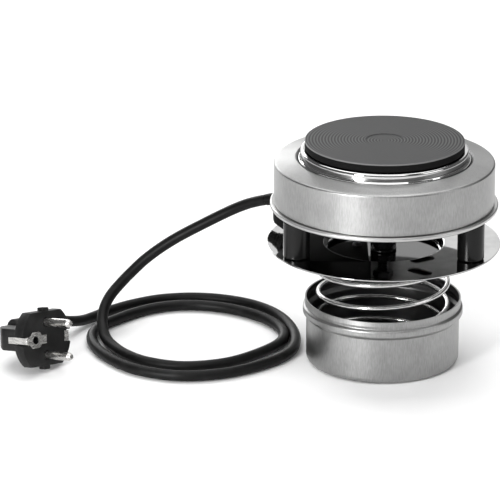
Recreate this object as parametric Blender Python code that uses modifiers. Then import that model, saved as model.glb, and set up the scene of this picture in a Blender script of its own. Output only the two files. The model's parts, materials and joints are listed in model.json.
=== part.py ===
"""Spring-mounted electric hot plate burner: a cast hot plate on a drawn housing, carried by a
spring in a base can, with its cord and angled earthed plug. Metres, +Z up, the origin at the
bottom centre of the base can."""

import math

import bmesh
import bpy
from mathutils import Matrix, Vector

MM = 0.001
GAP = 0.3
MERGE = 0.00001
TURN_STEPS = 36
SMALL_STEPS = 12

# Driving dimensions in millimetres, heights above the surface that the can stands on.
CAN_R = 43.9
CAN_H = 37.6
CAN_WALL = 0.8

SPRING_MEAN_R = 37.05
SPRING_WIRE_R = 1.4
SPRING_PITCH = 13.6
SPRING_CLOSED_PITCH = 2.9
SPRING_CLOSED_TURNS = 0.9
SPRING_START_ANGLE = 5.8

# Where the clips hold the spring's end coils, in turns from each end, and where their feet lie.
CLIP_TURNS = (0.2, 0.65)
LOWER_CLIP_FOOT = 26.4
LOWER_CLIP_LIP = 37.8
UPPER_CLIP_FOOT = 48.0
UPPER_CLIP_LIP = 36.4
CLIP_SHEET = 0.8
CLIP_HALF_W = 3.5
CLIP_RISE = 7.5
CLIP_RIVET = 3.2
RIVET_HOLE_R = 1.7

SHIELD_R = 66.5
SHIELD_TOP = 70.9
SHIELD_SHEET = 0.9
WELL_R = 33.25
WELL_DEPTH = 5.2
WELL_FLOOR = SHIELD_TOP - WELL_DEPTH

POST_R = 7.6
POST_CIRCLE_R = 56.5
POST_ANGLES = (88.0, -32.0, -152.0)
SCREW_HOLE_R = 2.1
SCREW_HOLE_DEPTH = 8.0

PAN_R = 64.9
PAN_BOTTOM = 92.7
PAN_SHEET = 0.8
PAN_LIP_TOP = 95.2
# Vent slots: middle (x, y) and turn in degrees.
VENTS = ((23.75, 29.0, 34.0), (21.4, 8.2, -40.0), (21.4, -8.2, 40.0), (23.75, -29.0, -34.0))
VENT_HALF_LENGTH = 3.8
VENT_R = 4.0
PASSAGE_Q = 21.0
PASSAGE_R = 6.5

HOUSING_R = 62.7
HOUSING_SHEET = 0.8
HOUSING_SEAT = 120.2
HOUSING_OPENING_R = 43.6

PLATE_R = 45.3
PLATE_TOP = 131.6
PLATE_RIM_BOTTOM = 127.0
SPIGOT_R = 42.9
SPIGOT_BOTTOM = 114.5
PLATE_CEILING = 124.4
BOSS_R = 9.0
RECESS_R = 11.0

BRACKET_BOTTOM = 104.0
BRACKET_SHEET = 1.5
BRACKET_TOP = 119.1
BRACKET_HALF_W = 7.0

STUD_R = 2.9
STUD_BOTTOM = 61.0
STUD_TOP = 125.7
NUT_H = 4.0
NUT_R = 5.8

OUTLET_ANGLE = 148.0
COVER_BOTTOM = 79.8
# The terminal cover fills the pan's rear left quarter, up to these two straight walls.
COVER_RIGHT_X = -7.4
COVER_FRONT_Y = -10.0
COVER_OUTER_R = 63.1
COVER_WALL = 2.0
COVER_TOP = PAN_BOTTOM - GAP
COVER_SCREWS = ((-14.0, -3.6), (-13.6, 46.0))
EARTH_SCREW = (48.0, 14.5)
GLAND_Q = 61.5
GLAND_Z = 86.6
GLAND_SLOPE = 17.0
GLAND_INNER = -3.0
GLAND_FLANGE = 4.0
GLAND_OUTER = 17.5
GLAND_BARREL_R = 4.4
GLAND_FLANGE_R = 6.2
GLAND_TIP_R = 3.9
TERMINAL_Q = 26.0
TERMINAL_HALF_W = 6.0
PIN_LOW = 100.5
BLOCK_Q = 33.0
WIRE_R = 1.0

CORD_R = 3.15
CORD_POINTS = 74
# The cord's route in metres, from the gland down to the surface, round two loops and to the plug.
CORD_ROUTE = (
    (-0.0667, 0.0417, 0.0814), (-0.0722, 0.0450, 0.0792), (-0.0795, 0.0489, 0.0757),
    (-0.0892, 0.0531, 0.0700), (-0.1035, 0.0568, 0.0613), (-0.1180, 0.0583, 0.0528),
    (-0.1290, 0.0583, 0.0456), (-0.1385, 0.0573, 0.0384), (-0.1465, 0.0550, 0.0312),
    (-0.1525, 0.0518, 0.0257), (-0.1577, 0.0475, 0.0206), (-0.1610, 0.0420, 0.0160),
    (-0.1625, 0.0355, 0.0113), (-0.1622, 0.0283, 0.0074), (-0.1602, 0.0195, 0.0045),
    (-0.1560, 0.0095, 0.0033), (-0.1475, -0.0050, 0.0032), (-0.1345, -0.0170, 0.0032),
    (-0.1140, -0.0237, 0.0032), (-0.0900, -0.0183, 0.0032), (-0.0710, -0.0030, 0.0032),
    (-0.0590, 0.0135, 0.0032), (-0.0566, 0.0295, 0.0032), (-0.0618, 0.0450, 0.0032),
    (-0.0745, 0.0605, 0.0032), (-0.0930, 0.0718, 0.0032), (-0.1120, 0.0757, 0.0032),
    (-0.1290, 0.0726, 0.0032), (-0.1430, 0.0640, 0.0032), (-0.1560, 0.0510, 0.0032),
    (-0.1652, 0.0385, 0.0032), (-0.1684, 0.0220, 0.0032), (-0.1640, 0.0030, 0.0032),
    (-0.1530, -0.0162, 0.0032), (-0.1380, -0.0302, 0.0032), (-0.1150, -0.0382, 0.0032),
    (-0.0890, -0.0335, 0.0032), (-0.0665, -0.0186, 0.0032), (-0.0535, -0.0015, 0.0032),
    (-0.0498, 0.0175, 0.0032), (-0.0520, 0.0385, 0.0032), (-0.0600, 0.0595, 0.0032),
    (-0.0745, 0.0762, 0.0032), (-0.0935, 0.0858, 0.0032), (-0.1125, 0.0885, 0.0032),
    (-0.1310, 0.0852, 0.0032), (-0.1470, 0.0765, 0.0032), (-0.1580, 0.0675, 0.0032),
    (-0.1650, 0.0600, 0.0033), (-0.1708, 0.0520, 0.0039), (-0.1753, 0.0443, 0.0054),
    (-0.1796, 0.0369, 0.0078), (-0.1840, 0.0297, 0.0106), (-0.1887, 0.0230, 0.0131),
    (-0.1933, 0.0176, 0.01455),
)

PLUG_PLACE = (-0.19196, -0.02113, 0.01939)
PLUG_YAW = -129.2
PLUG_PITCH = 10.2
PLUG_ROLL = -9.9
PLUG_FACE_R = 20.0
PLUG_FLAT = 15.6
PLUG_LUG = 17.7
PLUG_LUG_W = 5.2
PLUG_LUG_DEPTH = 4.2
PLUG_FACE_DEPTH = 7.0
PIN_R = 2.4
PIN_LENGTH = 19.0
PIN_HALF_SPACING = 9.5
EARTH_OFFSET = 10.0
EARTH_HOLE_R = 2.3
GRIP_HALF_H = 6.4
SLEEVE_R = 4.9
SLEEVE_X = (-8.0, 1.0)
SLEEVE_Y = -26.0
SLEEVE_Z = 4.8
BOOT_START = -8.3
BOOT_END = -28.3

PARTS = "hot_plate_burner"
CUTTERS = "cutters"


def clear_scene():
    for old in list(bpy.data.objects):
        bpy.data.objects.remove(old, do_unlink=True)


def collection(name):
    made = bpy.data.collections.get(name)
    if made is None:
        made = bpy.data.collections.new(name)
        bpy.context.scene.collection.children.link(made)
    return made


def material(name, colour, roughness, metallic):
    made = bpy.data.materials.new(name)
    made.use_nodes = True
    shader = made.node_tree.nodes["Principled BSDF"]
    shader.inputs["Base Color"].default_value = (*colour, 1.0)
    shader.inputs["Roughness"].default_value = roughness
    shader.inputs["Metallic"].default_value = metallic
    return made


def palette():
    return {
        "cast": material("cast_iron", (0.055, 0.055, 0.057), 0.55, 0.6),
        "satin": material("satin_steel", (0.62, 0.62, 0.61), 0.38, 1.0),
        "polished": material("polished_steel", (0.70, 0.70, 0.70), 0.12, 1.0),
        "zinc": material("zinc_plate", (0.55, 0.56, 0.58), 0.40, 1.0),
        "wire": material("spring_wire", (0.60, 0.60, 0.60), 0.22, 1.0),
        "post": material("black_phenolic", (0.020, 0.020, 0.021), 0.40, 0.0),
        "ceramic": material("white_ceramic", (0.80, 0.78, 0.72), 0.60, 0.0),
        "rubber": material("black_rubber", (0.018, 0.018, 0.018), 0.50, 0.0),
        "nickel": material("nickel_plate", (0.72, 0.70, 0.66), 0.20, 1.0),
        "brown": material("brown_insulation", (0.20, 0.07, 0.03), 0.50, 0.0),
        "blue": material("blue_insulation", (0.03, 0.12, 0.45), 0.50, 0.0),
        "green": material("earth_insulation", (0.15, 0.45, 0.06), 0.50, 0.0),
    }


def new_object(name, data, finish, parent=None):
    made = bpy.data.objects.new(name, data)
    collection(PARTS).objects.link(made)
    if finish is not None:
        data.materials.append(finish)
    made.parent = parent
    return made


def as_cutter(made):
    """Moves an object to the cutters, where it is a guide and not a part."""
    collection(PARTS).objects.unlink(made)
    collection(CUTTERS).objects.link(made)
    made.hide_render = True
    made.display_type = "WIRE"
    return made


def smooth(made, angle=35.0):
    made.data.shade_smooth()
    made.data.set_sharp_from_angle(angle=math.radians(angle))


def polar(radius, degrees, z=0.0):
    turn = math.radians(degrees)
    return Vector((radius * math.cos(turn), radius * math.sin(turn), z)) * MM


def outlet(q, w, z):
    """A point from the outlet's own axes: q outwards along it, w across it, z up."""
    turn = math.radians(OUTLET_ANGLE)
    along = Vector((math.cos(turn), math.sin(turn), 0.0))
    across = Vector((-math.sin(turn), math.cos(turn), 0.0))
    return (along * q + across * w + Vector((0.0, 0.0, z))) * MM


def arc(centre_r, centre_z, radius, start, end, count):
    """Points of a round stretch of a profile, in degrees from +R towards +Z."""
    step = (end - start) / count
    turns = [math.radians(start + step * index) for index in range(count + 1)]
    return [(centre_r + radius * math.cos(t), centre_z + radius * math.sin(t)) for t in turns]


def turned(name, profile, finish, steps=TURN_STEPS, wall=None, closed=False, parent=None):
    """A profile of (radius, height) points turned about Z, thickened inwards where it is sheet."""
    mesh = bpy.data.meshes.new(name)
    count = len(profile)
    edges = [(index, index + 1) for index in range(count - 1)]
    if closed:
        edges.append((count - 1, 0))
    mesh.from_pydata([(r * MM, 0.0, z * MM) for r, z in profile], edges, [])
    made = new_object(name, mesh, finish, parent)
    screw = made.modifiers.new("turn", "SCREW")
    screw.axis = "Z"
    screw.steps = steps
    screw.render_steps = steps
    screw.use_merge_vertices = True
    screw.merge_threshold = MERGE
    screw.use_smooth_shade = True
    if wall is not None:
        thick = made.modifiers.new("sheet", "SOLIDIFY")
        thick.thickness = wall * MM
        thick.offset = -1.0
        thick.use_even_offset = True
    return made


def rod(name, radius, low, high, sides=SMALL_STEPS, places=((0.0, 0.0),)):
    """Upright cylinders at (x, y) places, in one mesh."""
    mesh = bpy.data.meshes.new(name)
    shape = bmesh.new()
    for x, y in places:
        centre = Matrix.Translation(Vector((x, y, (low + high) / 2.0)) * MM)
        bmesh.ops.create_cone(
            shape, cap_ends=True, segments=sides, radius1=radius * MM, radius2=radius * MM,
            depth=(high - low) * MM, matrix=centre,
        )
    shape.to_mesh(mesh)
    shape.free()
    return mesh


def boolean(made, other, operation):
    step = made.modifiers.new(operation.lower(), "BOOLEAN")
    step.operation = operation
    step.solver = "EXACT"
    step.object = other


def drill(made, radius, low, high, places=((0.0, 0.0),), sides=SMALL_STEPS):
    """Upright round holes at (x, y) places in the part's own axes."""
    label = f"{made.name}_drill_{len(made.modifiers)}"
    cutter = new_object(label, rod(label, radius, low, high, sides, places), None, made.parent)
    cutter.matrix_basis = made.matrix_basis
    boolean(made, as_cutter(cutter), "DIFFERENCE")


def block(name, size, centre, finish, bevel=0.0, parent=None):
    mesh = bpy.data.meshes.new(name)
    shape = bmesh.new()
    bmesh.ops.create_cube(shape, size=1.0)
    bmesh.ops.scale(shape, vec=Vector(size) * MM, verts=shape.verts)
    bmesh.ops.translate(shape, vec=Vector(centre) * MM, verts=shape.verts)
    shape.to_mesh(mesh)
    shape.free()
    made = new_object(name, mesh, finish, parent)
    if bevel:
        round_edges(made, bevel)
    return made


def round_edges(made, width, segments=1):
    edge = made.modifiers.new("edges", "BEVEL")
    edge.width = width * MM
    edge.segments = segments
    edge.limit_method = "ANGLE"
    edge.angle_limit = math.radians(40.0)


def prism(name, outline, low, high, finish, place=None, parent=None):
    """A flat outline of (x, y) points, extruded along its own Z and made a mesh."""
    curve = bpy.data.curves.new(name, "CURVE")
    curve.dimensions = "2D"
    curve.fill_mode = "BOTH"
    curve.extrude = (high - low) / 2.0 * MM
    spline = curve.splines.new("POLY")
    spline.points.add(len(outline) - 1)
    for point, (x, y) in zip(spline.points, outline):
        point.co = (x * MM, y * MM, 0.0, 1.0)
    spline.use_cyclic_u = True
    guide = bpy.data.objects.new(name + "_outline", curve)
    collection(PARTS).objects.link(guide)
    guide.matrix_world = place or Matrix.Identity(4)
    made = curve_to_mesh(guide, name)
    made.data.transform(Matrix.Translation((0.0, 0.0, (low + high) / 2.0 * MM)))
    if finish is not None:
        made.data.materials.append(finish)
    made.parent = parent
    return made


def curve_to_mesh(guide, name):
    bpy.context.view_layer.update()
    seen = guide.evaluated_get(bpy.context.evaluated_depsgraph_get())
    mesh = bpy.data.meshes.new_from_object(seen)
    shape = bmesh.new()
    shape.from_mesh(mesh)
    bmesh.ops.remove_doubles(shape, verts=shape.verts, dist=MERGE)
    shape.to_mesh(mesh)
    shape.free()
    mesh.name = name
    made = bpy.data.objects.new(name, mesh)
    collection(PARTS).objects.link(made)
    made.matrix_world = guide.matrix_world
    bpy.data.objects.remove(guide, do_unlink=True)
    return made


def tube(name, points, radius, finish, resolution=2, parent=None):
    """A wire or a cord through points in metres."""
    curve = bpy.data.curves.new(name, "CURVE")
    curve.dimensions = "3D"
    curve.bevel_depth = radius * MM
    curve.bevel_resolution = resolution
    curve.use_fill_caps = True
    spline = curve.splines.new("POLY")
    spline.points.add(len(points) - 1)
    for point, place in zip(spline.points, points):
        point.co = (*place, 1.0)
    return new_object(name, curve, finish, parent)


def smooth_path(route, count):
    """Evenly spaced points of a Catmull-Rom curve through the route's points."""
    points = [Vector(place) for place in route]
    points = [2 * points[0] - points[1], *points, 2 * points[-1] - points[-2]]
    fine = []
    for before, start, end, after in zip(points, points[1:], points[2:], points[3:]):
        for index in range(20):
            t = index / 20.0
            fine.append(
                0.5 * (2 * start + (end - before) * t
                       + (2 * before - 5 * start + 4 * end - after) * t ** 2
                       + (3 * start - before - 3 * end + after) * t ** 3)
            )
    fine.append(points[-2])
    return even_spacing(fine, count)


def even_spacing(fine, count):
    reached = [0.0]
    for start, end in zip(fine, fine[1:]):
        reached.append(reached[-1] + (end - start).length)
    path = []
    index = 0
    for step in range(count):
        wanted = reached[-1] * step / (count - 1)
        while index < len(fine) - 2 and reached[index + 1] < wanted:
            index += 1
        share = (wanted - reached[index]) / (reached[index + 1] - reached[index])
        path.append(fine[index].lerp(fine[index + 1], share))
    return path


def screw_profile(head_r, head_h, shank_r, length):
    """A pan-head screw, its head standing on z = 0 and its shank below."""
    return [
        (0.0, head_h), (head_r * 0.65, head_h), (head_r, head_h * 0.45), (head_r, 0.0),
        (shank_r, 0.0), (shank_r, -length), (0.0, -length),
    ]


def screw(name, place, finish, head_r=3.4, head_h=2.2, shank_r=1.8, length=8.0, downwards=False):
    made = turned(name, screw_profile(head_r, head_h, shank_r, length), finish, SMALL_STEPS)
    made.location = place
    if downwards:
        made.rotation_euler = (math.pi, 0.0, 0.0)
    return made


def nut(name, low, high, finish):
    made = new_object(name, rod(name, NUT_R, low, high, 6), finish)
    drill(made, STUD_R + GAP, low - 1.0, high + 1.0)
    return made


def radial_frame(degrees):
    """Axes of an outline drawn as (radius, height) and extruded sideways."""
    return Matrix.Rotation(math.radians(degrees), 4, "Z") @ Matrix.Rotation(math.pi / 2, 4, "X")


# ---------------------------------------------------------------- base

def base_can(finish):
    """Rim, bead, straight wall, round corner and flat floor, from the top down."""
    bead = arc(CAN_R - 0.4, CAN_H - 7.0, 2.6, 52.0, -62.0, 6)
    corner = arc(CAN_R - 3.4, 3.0, 3.0, 0.0, -90.0, 4)
    rim = [(CAN_R + 0.7, CAN_H), (CAN_R + 1.0, CAN_H - 4.0)]
    wall = [(CAN_R, CAN_H - 10.6)]
    return turned("base_can", rim + bead + wall + corner + [(0.0, 0.0)], finish, wall=CAN_WALL)


def spring_height(turn, turns):
    closed = SPRING_CLOSED_TURNS
    active = turns - 2.0 * closed
    low = min(turn, closed)
    middle = min(max(turn - closed, 0.0), active)
    high = max(turn - closed - active, 0.0)
    start = CAN_WALL + GAP + SPRING_WIRE_R
    return start + SPRING_CLOSED_PITCH * (low + high) + SPRING_PITCH * middle


def spring_turns():
    bottom = CAN_WALL + GAP + SPRING_WIRE_R
    top = SHIELD_TOP - SHIELD_SHEET - GAP - SPRING_WIRE_R
    closed_rise = 2.0 * SPRING_CLOSED_TURNS * SPRING_CLOSED_PITCH
    return 2.0 * SPRING_CLOSED_TURNS + (top - bottom - closed_rise) / SPRING_PITCH


def spring(finish):
    turns = spring_turns()
    count = round(turns * 16)
    points = []
    for index in range(count + 1):
        turn = turns * index / count
        points.append(polar(SPRING_MEAN_R, SPRING_START_ANGLE + 360.0 * turn,
                            spring_height(turn, turns)))
    return tube("spring", points, SPRING_WIRE_R, finish)


def clip(name, degrees, foot_z, lip_z, foot, lip, finish):
    """A bent strip from its riveted foot to the lip that holds one wire of the spring."""
    sheet = CLIP_SHEET if lip_z > foot_z else -CLIP_SHEET
    inwards = 1.0 if lip > foot else -1.0
    knee = foot + inwards * CLIP_RISE
    outline = [
        (foot, foot_z), (knee + inwards * CLIP_SHEET, foot_z), (knee + inwards * CLIP_SHEET, lip_z),
        (lip, lip_z), (lip, lip_z + sheet), (knee, lip_z + sheet), (knee, foot_z + sheet),
        (foot, foot_z + sheet),
    ]
    made = prism(name, outline, -CLIP_HALF_W, CLIP_HALF_W, finish, radial_frame(degrees))
    label = name + "_rivet_hole"
    place = polar(foot + inwards * CLIP_RIVET, degrees)
    hole = new_object(label, rod(label, RIVET_HOLE_R, foot_z - 2.0, foot_z + 2.0,
                                 places=[(place.x / MM, place.y / MM)]), None)
    boolean(made, as_cutter(hole), "DIFFERENCE")
    return made


def rivet(name, place, finish, length, upside_down):
    profile = [(0.0, 1.0), (1.5, 0.8), (2.3, 0.0), (1.4, 0.0), (1.4, -length), (0.0, -length)]
    made = turned(name, profile, finish, 10)
    made.location = place
    if upside_down:
        made.rotation_euler = (math.pi, 0.0, 0.0)
    return made


def lower_clips(finish):
    turns = spring_turns()
    for index, turn in enumerate(CLIP_TURNS, 1):
        degrees = SPRING_START_ANGLE + 360.0 * turn
        lip_z = spring_height(turn, turns) + SPRING_WIRE_R + GAP
        foot_z = CAN_WALL + GAP
        clip(f"lower_clip_{index}", degrees, foot_z, lip_z, LOWER_CLIP_FOOT, LOWER_CLIP_LIP, finish)
        head_z = foot_z + CLIP_SHEET + GAP
        head = polar(LOWER_CLIP_FOOT + CLIP_RIVET, degrees, head_z)
        rivet(f"lower_clip_rivet_{index}", head, finish, head_z - 0.1, False)


def upper_clips(finish):
    turns = spring_turns()
    for index, back in enumerate(CLIP_TURNS, 1):
        turn = turns - back
        degrees = SPRING_START_ANGLE + 360.0 * turn
        lip_z = spring_height(turn, turns) - SPRING_WIRE_R - GAP
        foot_z = SHIELD_TOP - SHIELD_SHEET - GAP
        clip(f"upper_clip_{index}", degrees, foot_z, lip_z, UPPER_CLIP_FOOT, UPPER_CLIP_LIP, finish)
        head_z = foot_z - CLIP_SHEET - GAP
        head = polar(UPPER_CLIP_FOOT - CLIP_RIVET, degrees, head_z)
        rivet(f"upper_clip_rivet_{index}", head, finish, SHIELD_TOP - head_z - 0.1, True)


def clip_places(foot, turns_used):
    return [polar(foot, SPRING_START_ANGLE + 360.0 * turn) / MM for turn in turns_used]


# ---------------------------------------------------------------- carrier

def heat_shield(finish):
    profile = [(STUD_R + 0.7, WELL_FLOOR), (WELL_R - 1.9, WELL_FLOOR)]
    profile += arc(WELL_R - 1.9, WELL_FLOOR + 1.4, 1.4, -90.0, -10.0, 3)[1:]
    profile += [(WELL_R + 0.3, SHIELD_TOP - 0.8), (WELL_R + 1.2, SHIELD_TOP)]
    profile += [(SHIELD_R - 0.5, SHIELD_TOP), (SHIELD_R, SHIELD_TOP - 0.3)]
    return turned("heat_shield", profile, finish, wall=SHIELD_SHEET)


def spacer_post(index, degrees, finish):
    low = SHIELD_TOP + GAP
    high = PAN_BOTTOM - GAP
    hole_top, hole_bottom = low + SCREW_HOLE_DEPTH, high - SCREW_HOLE_DEPTH
    profile = [
        (0.0, hole_bottom), (SCREW_HOLE_R, hole_bottom), (SCREW_HOLE_R, high), (POST_R - 0.5, high),
        (POST_R, high - 0.5), (POST_R, low + 0.5), (POST_R - 0.5, low), (SCREW_HOLE_R, low),
        (SCREW_HOLE_R, hole_top), (0.0, hole_top),
    ]
    made = turned(f"spacer_post_{index}", profile, finish, 20)
    made.location = polar(POST_CIRCLE_R, degrees)
    return made


def posts(finish, screw_finish):
    for index, degrees in enumerate(POST_ANGLES, 1):
        spacer_post(index, degrees, finish)
        low = polar(POST_CIRCLE_R, degrees, SHIELD_TOP - SHIELD_SHEET - GAP)
        high = polar(POST_CIRCLE_R, degrees, PAN_BOTTOM + PAN_SHEET + GAP)
        screw(f"lower_post_screw_{index}", low, screw_finish, downwards=True)
        screw(f"upper_post_screw_{index}", high, screw_finish)


def centre_fixings(finish, washer_finish):
    stud = [(0.0, STUD_TOP), (STUD_R, STUD_TOP), (STUD_R, STUD_BOTTOM), (0.0, STUD_BOTTOM)]
    turned("centre_stud", stud, finish, SMALL_STEPS)
    washer_low = WELL_FLOOR + GAP
    washer_high = washer_low + 1.2
    ring = [(3.2, washer_high), (7.4, washer_high), (7.4, washer_low), (3.2, washer_low)]
    turned("shield_washer", ring, washer_finish, 24, closed=True)
    nut("shield_nut", washer_high + GAP, washer_high + GAP + NUT_H, finish)
    below = WELL_FLOOR - SHIELD_SHEET - GAP
    nut("shield_locknut", below - NUT_H + 0.6, below, finish)
    nut("pan_nut", PAN_BOTTOM - GAP - NUT_H, PAN_BOTTOM - GAP, finish)
    nut("bracket_nut", BRACKET_BOTTOM - GAP - NUT_H, BRACKET_BOTTOM - GAP, finish)


# ---------------------------------------------------------------- head

def clamp_bracket(finish):
    """A bent bar that bears up against the housing's top while the stud pulls the plate down."""
    low, top, sheet = BRACKET_BOTTOM, BRACKET_TOP, BRACKET_SHEET
    half = [
        (40.0, low), (51.0, top - sheet), (56.0, top - sheet), (56.0, top), (50.0, top),
        (39.2, low + sheet),
    ]
    outline = half + [(-x, z) for x, z in reversed(half)]
    place = radial_frame(OUTLET_ANGLE - 90.0)
    made = prism("clamp_bracket", outline, -BRACKET_HALF_W, BRACKET_HALF_W, finish, place)
    hole = new_object("bracket_hole", rod("bracket_hole", STUD_R + 0.5, low - 1.0, low + 3.0), None)
    boolean(made, as_cutter(hole), "DIFFERENCE")
    return made


def hot_plate(finish):
    recess = PLATE_TOP - 0.4
    wall_r = SPIGOT_R - 2.5
    bore_r = STUD_R + GAP
    profile = [
        (0.0, recess), (RECESS_R, recess), (RECESS_R + 0.2, PLATE_TOP), (PLATE_R - 0.4, PLATE_TOP),
        (PLATE_R, PLATE_TOP - 0.4), (PLATE_R, PLATE_RIM_BOTTOM + 0.3),
        (PLATE_R - 0.3, PLATE_RIM_BOTTOM), (SPIGOT_R, PLATE_RIM_BOTTOM),
        (SPIGOT_R, SPIGOT_BOTTOM), (wall_r, SPIGOT_BOTTOM), (wall_r, PLATE_CEILING),
        (BOSS_R, PLATE_CEILING), (BOSS_R, SPIGOT_BOTTOM + 0.5), (bore_r, SPIGOT_BOTTOM + 0.5),
        (bore_r, STUD_TOP + GAP), (0.0, STUD_TOP + GAP),
    ]
    return turned("hot_plate", profile, finish)


def overflow_ring(finish):
    profile = [(43.9, 126.6), (46.4, 126.6)]
    profile += arc(46.4, 125.2, 1.4, 90.0, 0.0, 3)[1:]
    profile += [(47.8, 122.2), (48.3, 121.2), (48.7, 121.1)]
    return turned("overflow_ring", profile, finish, wall=0.6)


def heating_coil(finish):
    """A spiral of wound resistance wire, shown as its outer tube, with both ends turned down."""
    outer_r = math.hypot(TERMINAL_Q, TERMINAL_HALF_W)
    half_angle = math.degrees(math.atan2(TERMINAL_HALF_W, TERMINAL_Q))
    height = 122.6
    low = 115.2
    first = OUTLET_ANGLE + half_angle
    last = OUTLET_ANGLE + 360.0 - half_angle
    points = [polar(outer_r, first, low), polar(outer_r, first, height - 1.5)]
    count = 20
    for index in range(count + 1):
        share = index / count
        swell = 8.0 * math.sin(math.pi * share) ** 0.5
        points.append(polar(outer_r + swell, first + (last - first) * share, height))
    points += [polar(outer_r, last, height - 1.5), polar(outer_r, last, low)]
    return tube("heating_coil", points, 1.1, finish, 1)


def terminal_places():
    places = [outlet(TERMINAL_Q, side * TERMINAL_HALF_W, 0.0) / MM for side in (1, -1)]
    return [(place.x, place.y) for place in places]


def coil_insulation(finish):
    section = [(39.9, 120.8), (39.9, 116.4), (9.6, 116.4), (9.6, 120.8)]
    made = turned("coil_insulation", section, finish, closed=True)
    drill(made, 1.6, 115.0, 122.0, terminal_places())
    return made


def coil_cover(finish):
    section = [(42.3, 114.2), (42.3, 113.4), (3.4, 113.4), (3.4, 114.2)]
    made = turned("coil_cover", section, finish, closed=True)
    drill(made, 2.4, 112.0, 115.0, terminal_places())
    return made


def terminal_insulator(finish):
    made = block("terminal_insulator", (11.0, 22.0, 7.0), (TERMINAL_Q, 0.0, 109.6), finish, 0.8)
    made.rotation_euler = (0.0, 0.0, math.radians(OUTLET_ANGLE))
    sides = (TERMINAL_HALF_W, -TERMINAL_HALF_W)
    drill(made, 1.9, 104.0, 115.0, [(TERMINAL_Q, side) for side in sides])
    return made


def terminal_pins(finish):
    for index, (x, y) in enumerate(terminal_places(), 1):
        profile = [(0.0, 114.9), (1.5, 114.9), (1.5, PIN_LOW), (0.0, PIN_LOW)]
        made = turned(f"terminal_pin_{index}", profile, finish, 10)
        made.location = (x * MM, y * MM, 0.0)


def thermal_cutout(finish):
    profile = [
        (0.0, 113.1), (8.0, 113.1), (8.0, 112.1), (7.0, 112.1), (7.0, 107.4), (6.4, 106.8),
        (0.0, 106.8),
    ]
    made = turned("thermal_cutout", profile, finish, 20)
    made.location = outlet(-24.0, 0.0, 0.0)
    return made


def housing(finish):
    profile = [
        (HOUSING_OPENING_R, HOUSING_SEAT), (49.0, HOUSING_SEAT), (49.8, 121.5), (50.5, 121.6),
        (60.3, 119.7),
    ]
    profile += arc(60.2, 117.2, 2.5, 78.0, 0.0, 4)[1:]
    profile += [(HOUSING_R, PAN_LIP_TOP + GAP)]
    return turned("housing", profile, finish, wall=HOUSING_SHEET)


def vent_outline():
    right = [(VENT_HALF_LENGTH + x, y) for x, y in arc(0.0, 0.0, VENT_R, -90.0, 90.0, 4)]
    return right + [(-x, -y) for x, y in right]


def bottom_pan(finish):
    profile = [
        (60.8, PAN_LIP_TOP), (PAN_R - 0.5, PAN_LIP_TOP), (PAN_R, PAN_LIP_TOP - 0.5),
        (PAN_R, PAN_BOTTOM + 0.5), (PAN_R - 0.5, PAN_BOTTOM), (STUD_R + 0.7, PAN_BOTTOM),
    ]
    made = turned("bottom_pan", profile, finish, wall=PAN_SHEET)
    low, high = PAN_BOTTOM - 1.0, PAN_BOTTOM + PAN_SHEET + 0.8
    for index, (x, y, degrees) in enumerate(VENTS, 1):
        place = Matrix.Translation((x * MM, y * MM, 0.0))
        place @= Matrix.Rotation(math.radians(degrees), 4, "Z")
        vent = prism(f"vent_{index}", vent_outline(), low, high, None, place)
        boolean(made, as_cutter(vent), "DIFFERENCE")
    screws = [polar(POST_CIRCLE_R, degrees) / MM for degrees in POST_ANGLES]
    screws.append(outlet(*EARTH_SCREW, 0.0) / MM)
    places = [(place.x, place.y) for place in screws]
    drill(made, SCREW_HOLE_R, low, high, places + list(COVER_SCREWS))
    passage = outlet(PASSAGE_Q, 0.0, 0.0) / MM
    drill(made, PASSAGE_R, low, high, [(passage.x, passage.y)], 16)
    return made


# ---------------------------------------------------------------- outlet box

def cover_outline(inset):
    """A quarter of a round, the walls moved inwards by an inset."""
    radius = COVER_OUTER_R - inset
    right = COVER_RIGHT_X - inset
    front = COVER_FRONT_Y + inset
    start = math.degrees(math.acos(right / radius))
    end = 180.0 - math.degrees(math.asin(front / radius))
    return [(right, front), *arc(0.0, 0.0, radius, start, end, 12)]


def gland_frame():
    """Axes with Z along the cord's way out, from the middle of the cover's outer wall."""
    turn = Matrix.Rotation(math.radians(OUTLET_ANGLE), 4, "Z")
    lean = Matrix.Rotation(math.radians(90.0 + GLAND_SLOPE), 4, "Y")
    return Matrix.Translation(outlet(GLAND_Q, 0.0, GLAND_Z)) @ turn @ lean


def terminal_cover(finish):
    made = prism("terminal_cover", cover_outline(0.0), COVER_BOTTOM, COVER_TOP, finish)
    floor = COVER_BOTTOM + COVER_WALL
    hollow = prism("cover_hollow", cover_outline(COVER_WALL), floor, COVER_TOP + 2.0, None)
    boolean(made, as_cutter(hollow), "DIFFERENCE")
    hole = new_object("gland_hole", rod("gland_hole", GLAND_BARREL_R + GAP, -6.0, 5.0, 16), None)
    hole.matrix_world = gland_frame()
    boolean(made, as_cutter(hole), "DIFFERENCE")
    drill(made, 1.7, COVER_BOTTOM - 1.0, COVER_BOTTOM + 3.0, COVER_SCREWS)
    return made


def cover_screws(finish):
    for index, (x, y) in enumerate(COVER_SCREWS, 1):
        place = Vector((x, y, COVER_BOTTOM - GAP)) * MM
        screw(f"cover_screw_{index}", place, finish, head_r=2.8, head_h=1.8, shank_r=1.4,
              length=15.8, downwards=True)
    screw("earth_screw", outlet(*EARTH_SCREW, PAN_BOTTOM - GAP), finish, head_r=2.8, head_h=1.8,
          shank_r=1.8, length=4.0, downwards=True)


def terminal_block(finish):
    made = block("terminal_block", (12.0, 30.0, 8.0), (BLOCK_Q, 0.0, 86.4), finish, 0.6)
    made.rotation_euler = (0.0, 0.0, math.radians(OUTLET_ANGLE))
    drill(made, 1.9, 87.0, 92.0, [(BLOCK_Q, w) for w in (-9.0, 0.0, 9.0)])
    return made


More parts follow.
